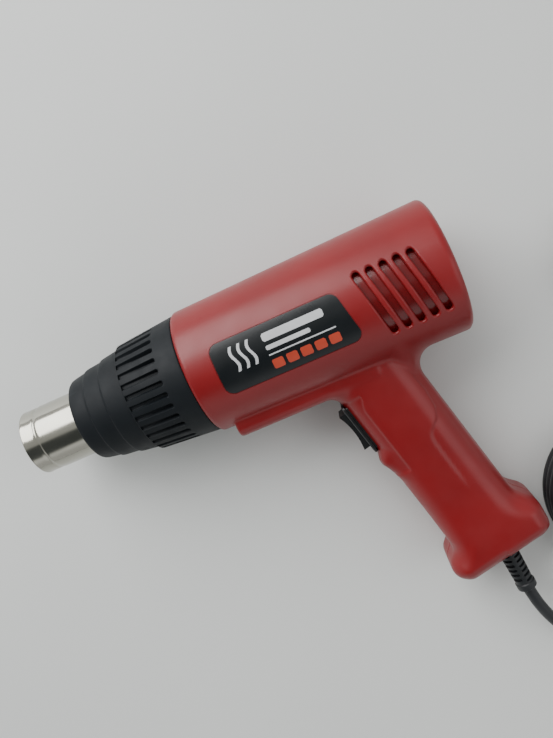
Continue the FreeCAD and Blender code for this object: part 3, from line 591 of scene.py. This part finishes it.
def surface(name, dark, light, rough, metal=0.0, blotch=45.0, grain=1500.0, grain_depth=0.02, spread=0.06,
            worn=None, worn_amount=0.0, specular=0.5, stretch=(1, 1, 1)):
    """A material with uneven colour, uneven gloss, a fine grain and edges worn to another colour."""
    material = bpy.data.materials.new(name)
    material.use_nodes = True
    tree = material.node_tree
    shader = tree.nodes["Principled BSDF"]
    shader.inputs["Metallic"].default_value = metal
    shader.inputs["Specular IOR Level"].default_value = specular
    place = tree.nodes.new("ShaderNodeTexCoord").outputs["Object"]
    scaled = add_node(tree, "ShaderNodeMapping", Scale=stretch)
    tree.links.new(place, scaled.inputs["Vector"])
    along = scaled.outputs["Vector"]
    colour = ramped(tree, noise(tree, along, blotch, 5.0), ((0.3, dark + (1,)), (0.7, light + (1,))))
    if worn:
        edges = tree.nodes.new("ShaderNodeNewGeometry").outputs["Pointiness"]
        broken = tree.nodes.new("ShaderNodeMath")
        broken.operation = "MULTIPLY"
        rubbed = ranged(tree, edges, From_Min=0.54, From_Max=0.66, To_Max=worn_amount)
        tree.links.new(rubbed, broken.inputs[0])
        tree.links.new(noise(tree, place, 420.0, 6.0), broken.inputs[1])
        colour = mixed(tree, broken.outputs["Value"], colour, worn + (1,))
    tree.links.new(colour, shader.inputs["Base Color"])
    gloss = ranged(tree, noise(tree, along, blotch * 3.1, 4.0), From_Min=0.25, From_Max=0.75,
                   To_Min=rough - spread, To_Max=rough + spread)
    tree.links.new(gloss, shader.inputs["Roughness"])
    bump = add_node(tree, "ShaderNodeBump", Distance=grain_depth * MM, Strength=0.8)
    tree.links.new(noise(tree, along, grain, 3.0), bump.inputs["Height"])
    tree.links.new(bump.outputs["Normal"], shader.inputs["Normal"])
    return material


SURFACES = {
    "red_plastic": surface("red_moulded", (0.205, 0.0066, 0.0088), (0.240, 0.0086, 0.0108), 0.36,
        blotch=30.0, grain=1900.0, grain_depth=0.035, spread=0.05, worn=(0.42, 0.10, 0.10),
        worn_amount=0.5),
    "red_screen": surface("red_screen_plastic", (0.17, 0.0055, 0.0075), (0.21, 0.0075, 0.0095), 0.2,
        spread=0.05, grain=900.0, grain_depth=0.02),
    "collar_plastic": surface("charcoal_plastic", (0.0052, 0.0072, 0.0094), (0.0078, 0.0102, 0.0128), 0.56,
        blotch=38.0, grain=2100.0, grain_depth=0.03, spread=0.08, specular=0.22, worn=(0.050, 0.056, 0.062),
        worn_amount=0.45),
    "nozzle_steel": surface("nickel_steel", (0.40, 0.388, 0.335), (0.48, 0.465, 0.41), 0.17, metal=1.0,
        blotch=60.0, grain=700.0, grain_depth=0.003, spread=0.05, stretch=(0.25, 1, 1),
        worn=(0.42, 0.36, 0.30), worn_amount=0.4),
    "mica": surface("mica_board", (0.42, 0.36, 0.26), (0.58, 0.52, 0.40), 0.45, blotch=120.0, grain=500.0,
        grain_depth=0.08, spread=0.12),
    "heating_alloy": surface("fired_wire", (0.16, 0.13, 0.11), (0.30, 0.26, 0.22), 0.38, metal=1.0,
        blotch=300.0, grain=2500.0),
    "cut_out_metal": surface("cut_out_tin", (0.50, 0.49, 0.46), (0.62, 0.61, 0.58), 0.35, metal=1.0,
        blotch=160.0),
    "black_plastic": surface("black_moulded", (0.010, 0.011, 0.012), (0.017, 0.018, 0.019), 0.42,
        blotch=60.0, grain=1700.0, grain_depth=0.03),
    "switch_black": surface("switch_gloss_black", (0.0065, 0.0070, 0.0080), (0.0110, 0.0115, 0.0125), 0.33,
        blotch=80.0, grain=1400.0, grain_depth=0.015, spread=0.07, worn=(0.05, 0.05, 0.055),
        worn_amount=0.5),
    "grey_nylon": surface("grey_nylon", (0.14, 0.145, 0.15), (0.20, 0.205, 0.21), 0.5, blotch=70.0,
        grain_depth=0.03),
    "zinc_steel": surface("zinc_plated", (0.52, 0.53, 0.54), (0.70, 0.70, 0.70), 0.30, metal=1.0,
        blotch=220.0, grain=1200.0),
    "ferrite": surface("ferrite", (0.030, 0.029, 0.030), (0.060, 0.058, 0.058), 0.62, blotch=150.0,
        grain_depth=0.06),
    "bronze": surface("sintered_bronze", (0.36, 0.22, 0.10), (0.50, 0.33, 0.16), 0.40, metal=1.0,
        blotch=200.0),
    "carbon": surface("brush_carbon", (0.012, 0.012, 0.013), (0.035, 0.035, 0.036), 0.66, blotch=300.0,
        grain_depth=0.05),
    "lamination": surface("lamination_steel", (0.20, 0.20, 0.21), (0.34, 0.34, 0.35), 0.42, metal=1.0,
        blotch=90.0, grain=2400.0, grain_depth=0.05, stretch=(3, 0.1, 0.1)),
    "copper": surface("turned_copper", (0.62, 0.26, 0.12), (0.78, 0.38, 0.20), 0.28, metal=1.0,
        blotch=180.0),
    "board": surface("board_resin", (0.10, 0.075, 0.030), (0.16, 0.115, 0.050), 0.42, blotch=120.0,
        grain_depth=0.03),
    "diode_black": surface("diode_epoxy", (0.010, 0.010, 0.011), (0.020, 0.020, 0.022), 0.34, blotch=400.0),
    "capacitor_yellow": surface("capacitor_yellow", (0.55, 0.36, 0.035), (0.66, 0.45, 0.06), 0.32,
        blotch=90.0),
    "tinned_brass": surface("tinned_brass", (0.56, 0.54, 0.48), (0.72, 0.70, 0.63), 0.28, metal=1.0,
        blotch=260.0),
    "wire_brown": surface("wire_brown", (0.085, 0.035, 0.018), (0.12, 0.050, 0.026), 0.45, blotch=160.0),
    "wire_blue": surface("wire_blue", (0.020, 0.075, 0.26), (0.030, 0.11, 0.34), 0.45, blotch=160.0),
    "wire_red": surface("wire_red", (0.34, 0.020, 0.018), (0.46, 0.030, 0.026), 0.45, blotch=160.0),
    "wire_white": surface("wire_glass_braid", (0.60, 0.59, 0.55), (0.74, 0.73, 0.69), 0.7, blotch=300.0,
        grain=2600.0, grain_depth=0.12),
    "label_film": surface("label_black_film", (0.0052, 0.0070, 0.0084), (0.0086, 0.0108, 0.0126), 0.30,
        blotch=35.0, grain=900.0, grain_depth=0.006, specular=0.4),
    "cord_rubber": surface("cord_rubber", (0.010, 0.0115, 0.0135), (0.018, 0.020, 0.023), 0.42,
        blotch=110.0, grain_depth=0.05, spread=0.08),
    "tie_fabric": surface("tie_weave", (0.014, 0.014, 0.015), (0.032, 0.032, 0.034), 0.85, blotch=420.0,
        grain=1300.0, grain_depth=0.25, specular=0.2),
    "plug_brass": surface("plug_nickel", (0.58, 0.56, 0.50), (0.74, 0.72, 0.66), 0.22, metal=1.0,
        blotch=200.0, stretch=(1, 0.3, 1)),
}
INKS = (("white", (0.55, 0.56, 0.58), (0.68, 0.69, 0.71)),
        ("red", (0.46, 0.050, 0.025), (0.56, 0.070, 0.035)))
PRINTS = {ink: surface("print_" + ink, dark, light, 0.36, blotch=90.0, grain=2000.0, grain_depth=0.01)
          for ink, dark, light in INKS}

for part_row in RECORD["subparts"]:
    for cad_slot in frame["nodes"][part_row["node"]].material_slots:
        cad_slot.material = SURFACES[part_row["material_slot"]]
give(cord, SURFACES["cord_rubber"])


# ---------- housing pieces
def rounded_loop(corners, radius, steps=6):
    """A closed outline with round corners, running with the corners given."""
    loop = []
    for index, corner in enumerate(corners):
        here = np.array(corner, float)
        back = np.array(corners[index - 1], float) - here
        ahead = np.array(corners[(index + 1) % len(corners)], float) - here
        back /= np.linalg.norm(back)
        ahead /= np.linalg.norm(ahead)
        bisector = back + ahead
        bisector /= np.linalg.norm(bisector)
        half_angle = math.acos(float(np.clip(back @ ahead, -1, 1))) / 2
        centre = here + bisector * radius / math.sin(half_angle)
        reach = radius / math.tan(half_angle)
        start, finish = here + back * reach - centre, here + ahead * reach - centre
        first = math.atan2(start[1], start[0])
        sweep = math.atan2(finish[1], finish[0]) - first
        sweep = (sweep + math.pi) % (2 * math.pi) - math.pi
        for angle in (first + sweep * step / steps for step in range(steps + 1)):
            loop.append(tuple(centre + radius * np.array([math.cos(angle), math.sin(angle)])))
    return loop


def rounded_box(left, right, low, high, radius, steps=6):
    """The outline of an upright box with round corners."""
    return rounded_loop([(left, low), (right, low), (right, high), (left, high)], radius, steps)


def grown(loop, amount):
    """The outline moved outward by amount."""
    points = np.array(loop)
    tangent = np.roll(points, -1, 0) - np.roll(points, 1, 0)
    tangent /= np.maximum(np.linalg.norm(tangent, axis=1), 1e-9)[:, None]
    area = np.sum(points[:, 0] * np.roll(points[:, 1], -1) - np.roll(points[:, 0], -1) * points[:, 1])
    outward = np.stack([tangent[:, 1], -tangent[:, 0]], 1) * (1 if area > 0 else -1)
    return [tuple(point) for point in points + outward * amount]


def on_barrel(loop, side, height):
    """The outline laid on the barrel's side, height above its surface."""
    result = []
    for x, y in loop:
        radius = barrel_radius(x)
        scale = (radius + height) / radius
        z = math.sqrt(max(radius * radius - y * y, 1.0))
        result.append((x, y * scale, side * z * scale))
    return result


SLOT_SLANT = math.radians(12.9)
SLOT_HALF = 1.8
SLOT_RUN = 17.6


def slot_outline(index):
    """One intake slot's outline, round at both ends."""
    centre = 205.8 + (index - 2) * 6.7
    cosine, sine = math.cos(SLOT_SLANT), math.sin(SLOT_SLANT)
    run = SLOT_RUN - SLOT_HALF
    loop = []
    for way in (1, -1):
        for step in range(9):
            angle = math.pi * step / 8
            loop.append((way * SLOT_HALF * math.cos(angle), way * (run + SLOT_HALF * math.sin(angle))))
        loop += [(-way * SLOT_HALF, way * run * (1 - step / 4)) for step in range(1, 8)]
    return [(centre + cosine * x - sine * y, sine * x + cosine * y) for x, y in loop]


def slot_cutter(index, side):
    """A slot through the wall whose outer edge is rounded along the barrel's curve."""
    loop = slot_outline(index)
    levels = [[(x, y, side * 22.0) for x, y in loop]]
    for grow, height in ((0.0, -1.1), (0.08, -0.7), (0.28, -0.32), (0.62, -0.08), (1.1, 0.12)):
        levels.append(on_barrel(grown(loop, grow), side, height))
    levels.append([(x, y, side * 45.0) for x, y in grown(loop, 1.6)])
    return levels


LABEL_OUTLINE = rounded_loop([(111.5, 12.8), (111.5, -12.8), (182.2, -12.8), (176.4, 12.8)], 4.5, 10)


def label_rows(outline, rows):
    """The outline's left and right ends at each height."""
    points = np.array(outline)
    middle = (points[:, 0].min() + points[:, 0].max()) / 2
    ends = []
    for y in rows:
        left = np.interp(y, *zip(*sorted((p[1], p[0]) for p in points if p[0] < middle)))
        right = np.interp(y, *zip(*sorted((p[1], p[0]) for p in points if p[0] > middle)))
        ends.append((left, right))
    return ends


def wrapped_shape(outline, side, low, high):
    """Points and faces of a thin patch that follows the barrel, from low to high above its surface."""
    heights = np.array(outline)[:, 1]
    even = np.linspace(heights.min(), heights.max(), 27)
    rows = sorted(set(np.round(heights, 3)) | set(even), reverse=True)
    across = 5
    flat = [(left + (right - left) * step / (across - 1), y)
            for y, (left, right) in zip(rows, label_rows(outline, rows)) for step in range(across)]
    vertices = on_barrel(flat, side, high) + on_barrel(flat, side, low)
    size = len(flat)
    faces = []
    for row in range(len(rows) - 1):
        for a in range(row * across, row * across + across - 1):
            faces.append((a, a + 1, a + across + 1, a + across))
            faces.append((size + a, size + a + across, size + a + across + 1, size + a + 1))
    rim = list(range(across)) + [across * (row + 1) - 1 for row in range(1, len(rows))]
    rim += [size - 1 - step for step in range(1, across)]
    rim += [across * row for row in range(len(rows) - 2, 0, -1)]
    faces += [(here, after, after + size, here + size) for here, after in zip(rim, rim[1:] + rim[:1])]
    return vertices, faces


def cylinder_loops(middle, radius, way, low, high, count=40):
    """Two rings of a round cutter along a way."""
    way = Vector(way).normalized()
    side = way.orthogonal().normalized()
    other = way.cross(side)
    return [[tuple(Vector(middle) + way * reach + (side * cosine + other * sine) * radius)
             for cosine, sine in circle(count)] for reach in (low, high)]


def grip_place(down, back, z=0.0):
    """A point of the tool's frame, from how far down the grip it is and how far back."""
    cosine, sine = math.cos(SLANT), math.sin(SLANT)
    return (down * sine + back * cosine, back * sine - down * cosine, z)


SCREW_PLACES = [(113.0, 27.3), (168.0, 28.0), (226.0, 26.5), (226.0, -26.5)]
GRIP_SCREWS = [(136, 179.3), (122, 147.5), (190, 143), (190, 185)]
SCREW_PLACES += [grip_place(down, back)[:2] for down, back in GRIP_SCREWS]
WELL_RADIUS = 3.5


def skin_depth(x, y):
    """How far out the housing's right side reaches at x, y."""
    low, high = 0.0, 40.0
    for _ in range(30):
        middle = (low + high) / 2
        if float(housing_field(np.array([x]), np.array([y]), np.array([middle]))[0]) < 0:
            low = middle
        else:
            high = middle
    return low


def screw_well(number, x, y):
    """The moulded well in the right half at whose bottom a screw's head sits."""
    outer, stem, seat, bottom, skin, count = WELL_RADIUS + 1.2, 1.75, 5.8, 7.0, None, 28
    points = []
    for radius, depth, under_skin, least in ((outer, skin, 1.3, 7.4), (outer, seat, 0, 0), (stem, seat, 0, 0),
                                             (stem, bottom, 0, 0), (WELL_RADIUS, bottom, 0, 0),
                                             (WELL_RADIUS, skin, 0.15, 7.6)):
        for cosine, sine in circle(count):
            px, py = x + radius * cosine, y + radius * sine
            points.append((px, py, -(depth or max(skin_depth(px, py) - under_skin, least))))
    add_mesh("screw_well_%d" % number, points, ring_faces(6, count, closed=True), "red_plastic", sharp=40)


def carve(piece, solids):
    """Cuts every closed solid, given as points and faces, out of a piece and applies the result."""
    points, faces = [], []
    for solid_points, solid_faces in solids:
        faces += [tuple(len(points) + vertex for vertex in face) for face in solid_faces]
        points += solid_points
    mesh = bpy.data.meshes.new("cutter")
    mesh.from_pydata(points, [], faces)
    mesh.transform(TOOL)
    mesh.update()
    face_outward(mesh)
    cutter = bpy.data.objects.new("cutter", mesh)
    bpy.context.scene.collection.objects.link(cutter)
    modifier = piece.modifiers.new("openings", "BOOLEAN")
    modifier.operation = "DIFFERENCE"
    modifier.solver = "MANIFOLD"
    modifier.object = cutter
    carved = bpy.data.meshes.new_from_object(piece.evaluated_get(bpy.context.evaluated_depsgraph_get()))
    piece.modifiers.clear()
    piece.data = carved
    bpy.data.objects.remove(cutter)


def make_housing():
    """Both shells with their openings, label beds and screw wells."""
    window = rounded_box(83.2, 110.6, -8.4, 8.4, 1.6, 4)
    window_cut = [[grip_place(down, back, z) for down, z in window] for back in (135.0, 149.0)]
    boot_cut = cylinder_loops(BOOT_BASE, 5.15, BOOT_WAY, -7.0, 6.0)
    for side, sign in (("left", 1), ("right", -1)):
        points, faces = housing_shell(side)
        shell = add_mesh("housing_shell_" + side, points, faces, "red_plastic", ["housing_" + side])
        cuts = [slot_cutter(index, sign) for index in range(5)] + [window_cut, boot_cut]
        if side == "right":
            cuts += [cylinder_loops((x, y, 0), WELL_RADIUS, (0, 0, 1), -45.0, -7.5, 28)
                     for x, y in SCREW_PLACES]
        bed = wrapped_shape(grown(LABEL_OUTLINE, 0.4), sign, -0.30, 1.5)
        carve(shell, [bed] + [loft(loops) for loops in cuts])
        face_outward(shell.data, 32)
    for number, (x, y) in enumerate(SCREW_PLACES, start=1):
        screw_well(number, x, y)


make_housing()


# ---------- labels
WAVE_STEPS = 16
WAVE_HALF = 0.75


def artwork():
    """A generic sign for hot air: three rising waves, two bars, a rule and a row of red blocks."""
    shapes = []
    for wave in range(3):
        centre = 121.8 + 4.4 * wave
        spine = [(centre + math.sin(2 * math.pi * step / WAVE_STEPS), -3.6 + 12.6 * step / WAVE_STEPS)
                 for step in range(WAVE_STEPS + 1)]
        shapes.append(("white", spine))
    shapes += [("white", rounded_box(137.5, 168.5, 4.6, 8.6, 0.8, 3)),
               ("white", rounded_box(137.5, 160.0, 0.4, 2.6, 0.6, 3)),
               ("white", rounded_box(137.5, 171.5, -2.4, -1.7, 0.2, 2))]
    for block in range(5):
        left = 137.5 + 7.2 * block
        shapes.append(("red", rounded_box(left, left + 5.6, -9.4, -4.6, 0.6, 3)))
    return shapes


def print_patch(name, shape, side):
    """A layer of ink on the label's face, filled by rows and laid on the curve: a bar or a wave's spine."""
    points = np.array(shape)
    low, high = points[:, 1].min(), points[:, 1].max()
    rows = np.linspace(low + 0.01, high - 0.01, max(6, int((high - low) / 0.6)))
    vertices, faces = [], []
    for row, y in enumerate(rows):
        if len(shape) == WAVE_STEPS + 1:
            centre = float(np.interp(y, points[:, 1], points[:, 0]))
            ends = (centre - WAVE_HALF, centre + WAVE_HALF)
        else:
            ends = label_rows(shape, [y])[0]
        vertices += on_barrel([(x, y) for x in ends], side, 0.085)
        if row:
            base = 2 * row
            faces.append((base - 2, base - 1, base + 1, base)[::side])
    return add_mesh(name, vertices, faces, "label_film")


def make_labels():
    """A film and its print on each side; the far side's print is mirrored to read alike."""
    ends_sum = 293.9
    for side, sign in (("left", 1), ("right", -1)):
        points, faces = wrapped_shape(LABEL_OUTLINE, sign, -0.26, 0.06)
        add_mesh("label_plate_" + side, points, faces, "label_film", ["label_" + side], sharp=40)
        for number, (colour, shape) in enumerate(artwork(), start=1):
            if sign < 0:
                shape = [(ends_sum - x, y) for x, y in shape]
            give(print_patch("label_print_%s_%d" % (side, number), shape, sign), PRINTS[colour])


make_labels()


# ---------- collar and nozzle
FLUTES = 32
FLUTE_HALF = 1.15


def collar_reach(x, radius, angle):
    """The collar's radius with its flutes: shallow channels with round rear ends."""
    if x < 63.9 or x > 87:
        return radius
    pitch = 2 * math.pi / FLUTES
    off = ((angle + pitch / 2) % pitch - pitch / 2) * radius
    end = max(0.0, x - 83.4)
    gap = math.hypot(off, end) - FLUTE_HALF
    share = min(1.0, max(0.0, 0.5 - gap / 0.7))
    share = share * share * (3 - 2 * share)
    floor = 28.2 + (x - 63.5) * 0.012
    return radius + (floor - radius) * share


def make_collar():
    """The moulded front collar: a stepped nose, a fluted band and a spigot inside the barrel."""
    outside = [
        (32.0, 20.6), (32.12, 21.3), (32.5, 21.9), (33.1, 22.3), (34.0, 22.62), (36.0, 23.0),
        (38.5, 23.4), (40.6, 23.72), (41.5, 23.86), (41.85, 24.0), (42.05, 24.35), (42.35, 24.62),
        (43.0, 24.76), (46.0, 25.06), (49.0, 25.36), (51.2, 25.6), (51.8, 25.75), (52.05, 26.1),
        (52.3, 26.4), (53.0, 26.58), (56.0, 26.95), (59.0, 27.35), (62.0, 27.78), (63.0, 27.92),
        (63.3, 27.97), (63.4, 28.1), (63.45, 28.6), (63.55, 29.1), (63.7, 29.36), (63.88, 29.43),
        (63.92, 29.44), (64.1, 29.45), (65.0, 29.52)
    ]
    flute_stations = (67, 70, 73, 76, 78, 80, 81.5, 82.5, 83.2, 83.6, 84.0, 84.4, 84.8, 85.2, 86.0, 87.5,
                      90.0, 93.0, 95.2)
    outside += [(x, 29.4 + (x - 63.5) * 2.6 / 32.5) for x in flute_stations]
    outside += [(95.8, 31.9), (96.0, 31.7)]
    inside = [
        (96.0, 30.3), (101.8, 30.2), (101.8, 27.5), (97.5, 26.6), (90.0, 25.0), (60.0, 22.6),
        (37.5, 20.2), (36.8, 18.2), (32.6, 18.1), (32.1, 18.5), (32.0, 19.2)
    ]
    revolved("ribbed_collar", outside + inside, 768, "collar_plastic", ["front_collar"], collar_reach)


def make_nozzle():
    """The thin steel tube: a rolled bead near its mouth and a flange at its inner end."""
    tube = [
        (0.35, 16.95), (0.12, 17.1), (0.0, 17.25), (0.12, 17.42), (0.4, 17.5), (1.0, 17.45), (3.0, 17.34),
        (6.2, 17.34), (6.9, 17.30), (7.35, 17.12), (7.7, 16.98), (8.1, 16.98), (8.5, 17.12),
        (8.95, 17.36), (9.5, 17.48), (10.5, 17.5), (20.0, 17.5), (31.4, 17.5), (31.6, 17.1), (60.0, 17.1),
        (98.8, 17.1), (98.9, 25.9), (100.0, 26.0), (100.0, 16.7), (60.0, 16.7), (9.5, 16.7), (8.5, 16.5),
        (8.1, 16.35), (7.6, 16.35), (7.2, 16.5), (6.2, 16.7), (1.2, 16.75)
    ]
    revolved("hot_air_tube", tube, 128, "nozzle_steel", ["nozzle_tube"])


make_collar()
make_nozzle()


# ---------- switch
ROCKER_MIDDLE = 96.9


def make_switch():
    """The switch's frame in the grip, and the rocker that tilts in it."""
    outer = rounded_box(81.8, 112.0, -9.5, 9.5, 2.4)
    inner = rounded_box(84.7, 109.1, -7.0, 7.0, 1.0)
    skirt = rounded_box(83.4, 110.4, -8.2, 8.2, 1.2)
    rings = [(outer, 142.2), (outer, 141.2), (grown(outer, -0.5), 140.8), (grown(inner, 0.35), 140.8),
             (inner, 141.15), (inner, 149.4), (skirt, 149.4), (skirt, 142.2)]
    points = [grip_place(down, back, z) for loop, back in rings for down, z in loop]
    faces = ring_faces(len(rings), len(outer), closed=True)
    add_mesh("switch_frame", points, faces, "switch_black", ["switch_bezel"], sharp=35)

    half, steps, width = 10.8, 12, 13.2
    dip, face, crown, root = 1.5, 136.9, 148.4, 145.5
    shares = [-1 + 2 * step / steps for step in range(steps + 1)]
    profile = [(ROCKER_MIDDLE + half * share, face + dip * (1 - share * share)) for share in shares]
    profile += [(ROCKER_MIDDLE + half, root), (ROCKER_MIDDLE, crown), (ROCKER_MIDDLE - half, root)]
    loops = [[grip_place(down, back, width * quarter / 4) for down, back in profile]
             for quarter in range(-2, 3)]
    points, faces = loft(loops)
    rocker = add_mesh("rocker_cap", points, faces, "switch_black", ["switch_rocker"], body="rocker", sharp=35)
    bevelled(rocker, 0.7)


make_switch()


# ---------- cord pieces
def boot_cut(along, angle):
    """How deep the boot's slots are somewhere on it: they take turns on its two sides."""
    pitch, half_width, half_turn = 1.55, 0.62, 1.28
    for slot in range(12):
        facing = math.pi * (slot % 2)
        turned = abs((angle - facing + math.pi) % (2 * math.pi) - math.pi)
        if abs(along - 3.6 - pitch * slot) < half_width and turned < half_turn:
            return 1.25
    return 0.0


def make_boot():
    """The bend relief: a tapering sleeve with slots on alternate sides and a plain end collar."""
    across, up = Vector((BOOT_WAY.y, -BOOT_WAY.x, 0.0)), Vector((0, 0, 1))
    count, flange_end, step_length = 64, -4.2, 0.3
    start = -6.4
    stations = [start + step_length * step for step in range(int((BOOT_LENGTH - start) / step_length) + 1)]
    rings = []
    for along in stations:
        radius = 6.0 if along < flange_end else 5.35 - 0.55 * max(0.0, along) / BOOT_LENGTH
        radius += 0.55 * float(ease(np.array(along), 22.4, 23.1) * (1 - ease(np.array(along), 26.2, 27.4)))
        radius -= 0.9 * max(0.0, along - 26.3)
        rings.append((along, [radius - boot_cut(along, 2 * math.pi * step / count) for step in range(count)]))
    rings += [(BOOT_LENGTH, [3.3] * count), (10.0, [3.3] * count)]
    points = [BOOT_BASE + BOOT_WAY * along + (across * cosine + up * sine) * reach
              for along, reaches in rings for reach, (cosine, sine) in zip(reaches, circle(count))]
    add_mesh("bend_relief", points, ring_faces(len(rings), count), "cord_rubber", ["cord_boot"], sharp=35)


def make_tie():
    """A woven strap round the coil, its edges a little thinner than its middle."""
    angle = math.radians(235.0)
    out = Vector((math.cos(angle), math.sin(angle), 0.0))
    along = Vector((-out.y, out.x, 0.0))
    centre = COIL_CENTRE + out * 34.0
    lift = 0.12
    loop = rounded_box(-9.95, 9.95, lift, 20.95, 3.6, 7)
    rings = [(shift, [(side, max(height, lift)) for side, height in grown(loop, -less)])
             for shift, less in ((-4.0, 0.16), (-3.7, 0.04), (0.0, 0.0), (3.7, 0.04), (4.0, 0.16))]
    rings += [(shift, grown(loop, -0.75)) for shift in (4.0, 0.0, -4.0)]
    points = [centre + out * side + along * shift + Vector((0, 0, height))
              for shift, ring in rings for side, height in ring]
    faces = ring_faces(len(rings), len(loop), closed=True)
    add_mesh("coil_strap", points, faces, "tie_fabric", ["cord_tie"], placing=FLOOR, sharp=50)


def plug_ring(along, half_width, half_height, power, count=48):
    """One section of the plug: a rounded box, power higher for squarer."""
    ring = []
    for cosine, sine in circle(count):
        side = half_width * math.copysign(abs(cosine) ** (2 / power), cosine)
        height = half_height * math.copysign(abs(sine) ** (2 / power), sine)
        ring.append(tuple(PLUG_ENTRY + Vector((side, along, height))))
    return ring


def make_plug():
    """The plug's bend relief, its moulded body and its two pins."""
    rings = []
    for step in range(33):
        along = 24.0 * step / 32
        rib = 0.45 if step % 4 in (1, 2) and 3 < step < 29 else 0.0
        radius = 4.1 + 0.5 * step / 32 - rib
        rings.append(plug_ring(along, radius, radius, 2.0, 40))
    points = [point for ring in rings for point in ring]
    faces = ring_faces(len(rings), 40)
    add_mesh("plug_relief", points, faces, "cord_rubber", ["plug_sleeve"], placing=FLOOR, sharp=40)

    sections = [
        (24.0, 5.2, 5.0, 2.0), (24.3, 6.6, 6.2, 2.1), (25.2, 7.6, 7.0, 2.3), (27.5, 8.6, 7.8, 2.5),
        (31.0, 9.9, 8.6, 2.8), (35.0, 11.6, 9.4, 3.0), (39.0, 13.4, 10.2, 3.2), (43.0, 15.2, 11.0, 3.4),
        (46.0, 16.2, 11.5, 3.6), (47.4, 16.5, 11.7, 3.6), (47.7, 16.0, 11.2, 3.6),
        (48.6, 16.0, 11.2, 3.6), (48.9, 16.7, 11.8, 3.6), (51.0, 16.95, 12.0, 3.6),
        (51.3, 16.4, 11.5, 3.6), (52.2, 16.4, 11.5, 3.6), (52.5, 17.1, 12.15, 3.6),
        (54.6, 17.25, 12.3, 3.7), (54.9, 16.7, 11.8, 3.7), (55.8, 16.7, 11.8, 3.7),
        (56.1, 17.3, 12.4, 3.8), (60.0, 17.45, 12.5, 4.0), (64.6, 17.45, 12.5, 4.0),
        (65.5, 17.2, 12.3, 4.0), (66.0, 16.6, 11.7, 4.0)
    ]
    points = [point for section in sections for point in plug_ring(*section)]
    faces = ring_faces(len(sections), 48)
    add_mesh("plug_moulding", points, faces, "cord_rubber", ["plug_body"], placing=FLOOR, sharp=40)

    points, faces = [], []
    profile = [(65.8, 2.4), (66.6, 2.4), (75.6, 2.4), (75.9, 2.25), (76.2, 2.38), (83.4, 2.38), (84.3, 2.1),
               (84.85, 1.4), (85.0, 0.5)]
    for offset in (-9.5, 9.5):
        faces += [tuple(len(points) + vertex for vertex in face) for face in ring_faces(len(profile), 32)]
        for along, radius in profile:
            points += [PLUG_ENTRY + Vector((offset + radius * cosine, along, radius * sine))
                       for cosine, sine in circle(32)]
    add_mesh("plug_contacts", points, faces, "plug_brass", ["plug_pins"], placing=FLOOR, sharp=40)


make_boot()
make_tie()
make_plug()


# ---------- stage
def make_floor():
    """One plain pale floor."""
    half, low = 3.0, -0.0002
    mesh = bpy.data.meshes.new("floor")
    mesh.from_pydata([(-half, -half, low), (half, -half, low), (half, half, low), (-half, half, low)],
                     [], [(0, 1, 2, 3)])
    floor = bpy.data.objects.new("floor", mesh)
    bpy.context.scene.collection.objects.link(floor)
    paint = surface("floor_pale", (0.735, 0.75, 0.74), (0.785, 0.80, 0.785), 0.55, blotch=3.0, grain=200.0)
    give(floor, paint)


def make_sky():
    """A pale room all round, and overhead a dark ceiling between a window's side and a wall's side."""
    dark, grey, bright = (0.10, 0.11, 0.11, 1), (0.66, 0.67, 0.655, 1), (1.10, 1.12, 1.11, 1)
    pale = (0.74, 0.75, 0.745, 1)
    world = bpy.data.worlds.new("studio")
    bpy.context.scene.world = world
    world.use_nodes = True
    tree = world.node_tree
    split = tree.nodes.new("ShaderNodeSeparateXYZ")
    tree.links.new(tree.nodes.new("ShaderNodeTexCoord").outputs["Generated"], split.inputs["Vector"])
    ceiling = ramped(tree, ranged(tree, split.outputs["Y"], From_Min=-1.0),
                     ((0.00, bright), (0.12, bright), (0.16, dark), (0.43, dark), (0.48, grey), (1.00, grey)))
    overhead = ranged(tree, split.outputs["Z"], From_Min=0.25, From_Max=0.45)
    background = tree.nodes["Background"]
    tree.links.new(mixed(tree, overhead, pale, ceiling), background.inputs["Color"])
    background.inputs["Strength"].default_value = 0.86


def make_lamp(name, spot, span, power):
    """A soft lamp that faces the object."""
    data = bpy.data.lights.new(name, "AREA")
    data.size = span
    data.energy = power
    lamp = bpy.data.objects.new(name, data)
    lamp.location = spot
    lamp.rotation_euler = (Vector((0, 0, 0.03)) - Vector(spot)).to_track_quat("-Z", "Y").to_euler()
    bpy.context.scene.collection.objects.link(lamp)


make_floor()
make_sky()
make_lamp("key", (-0.50, 1.05, 0.85), 1.2, 25.0)
make_lamp("fill", (0.9, -0.3, 1.0), 1.0, 4.0)
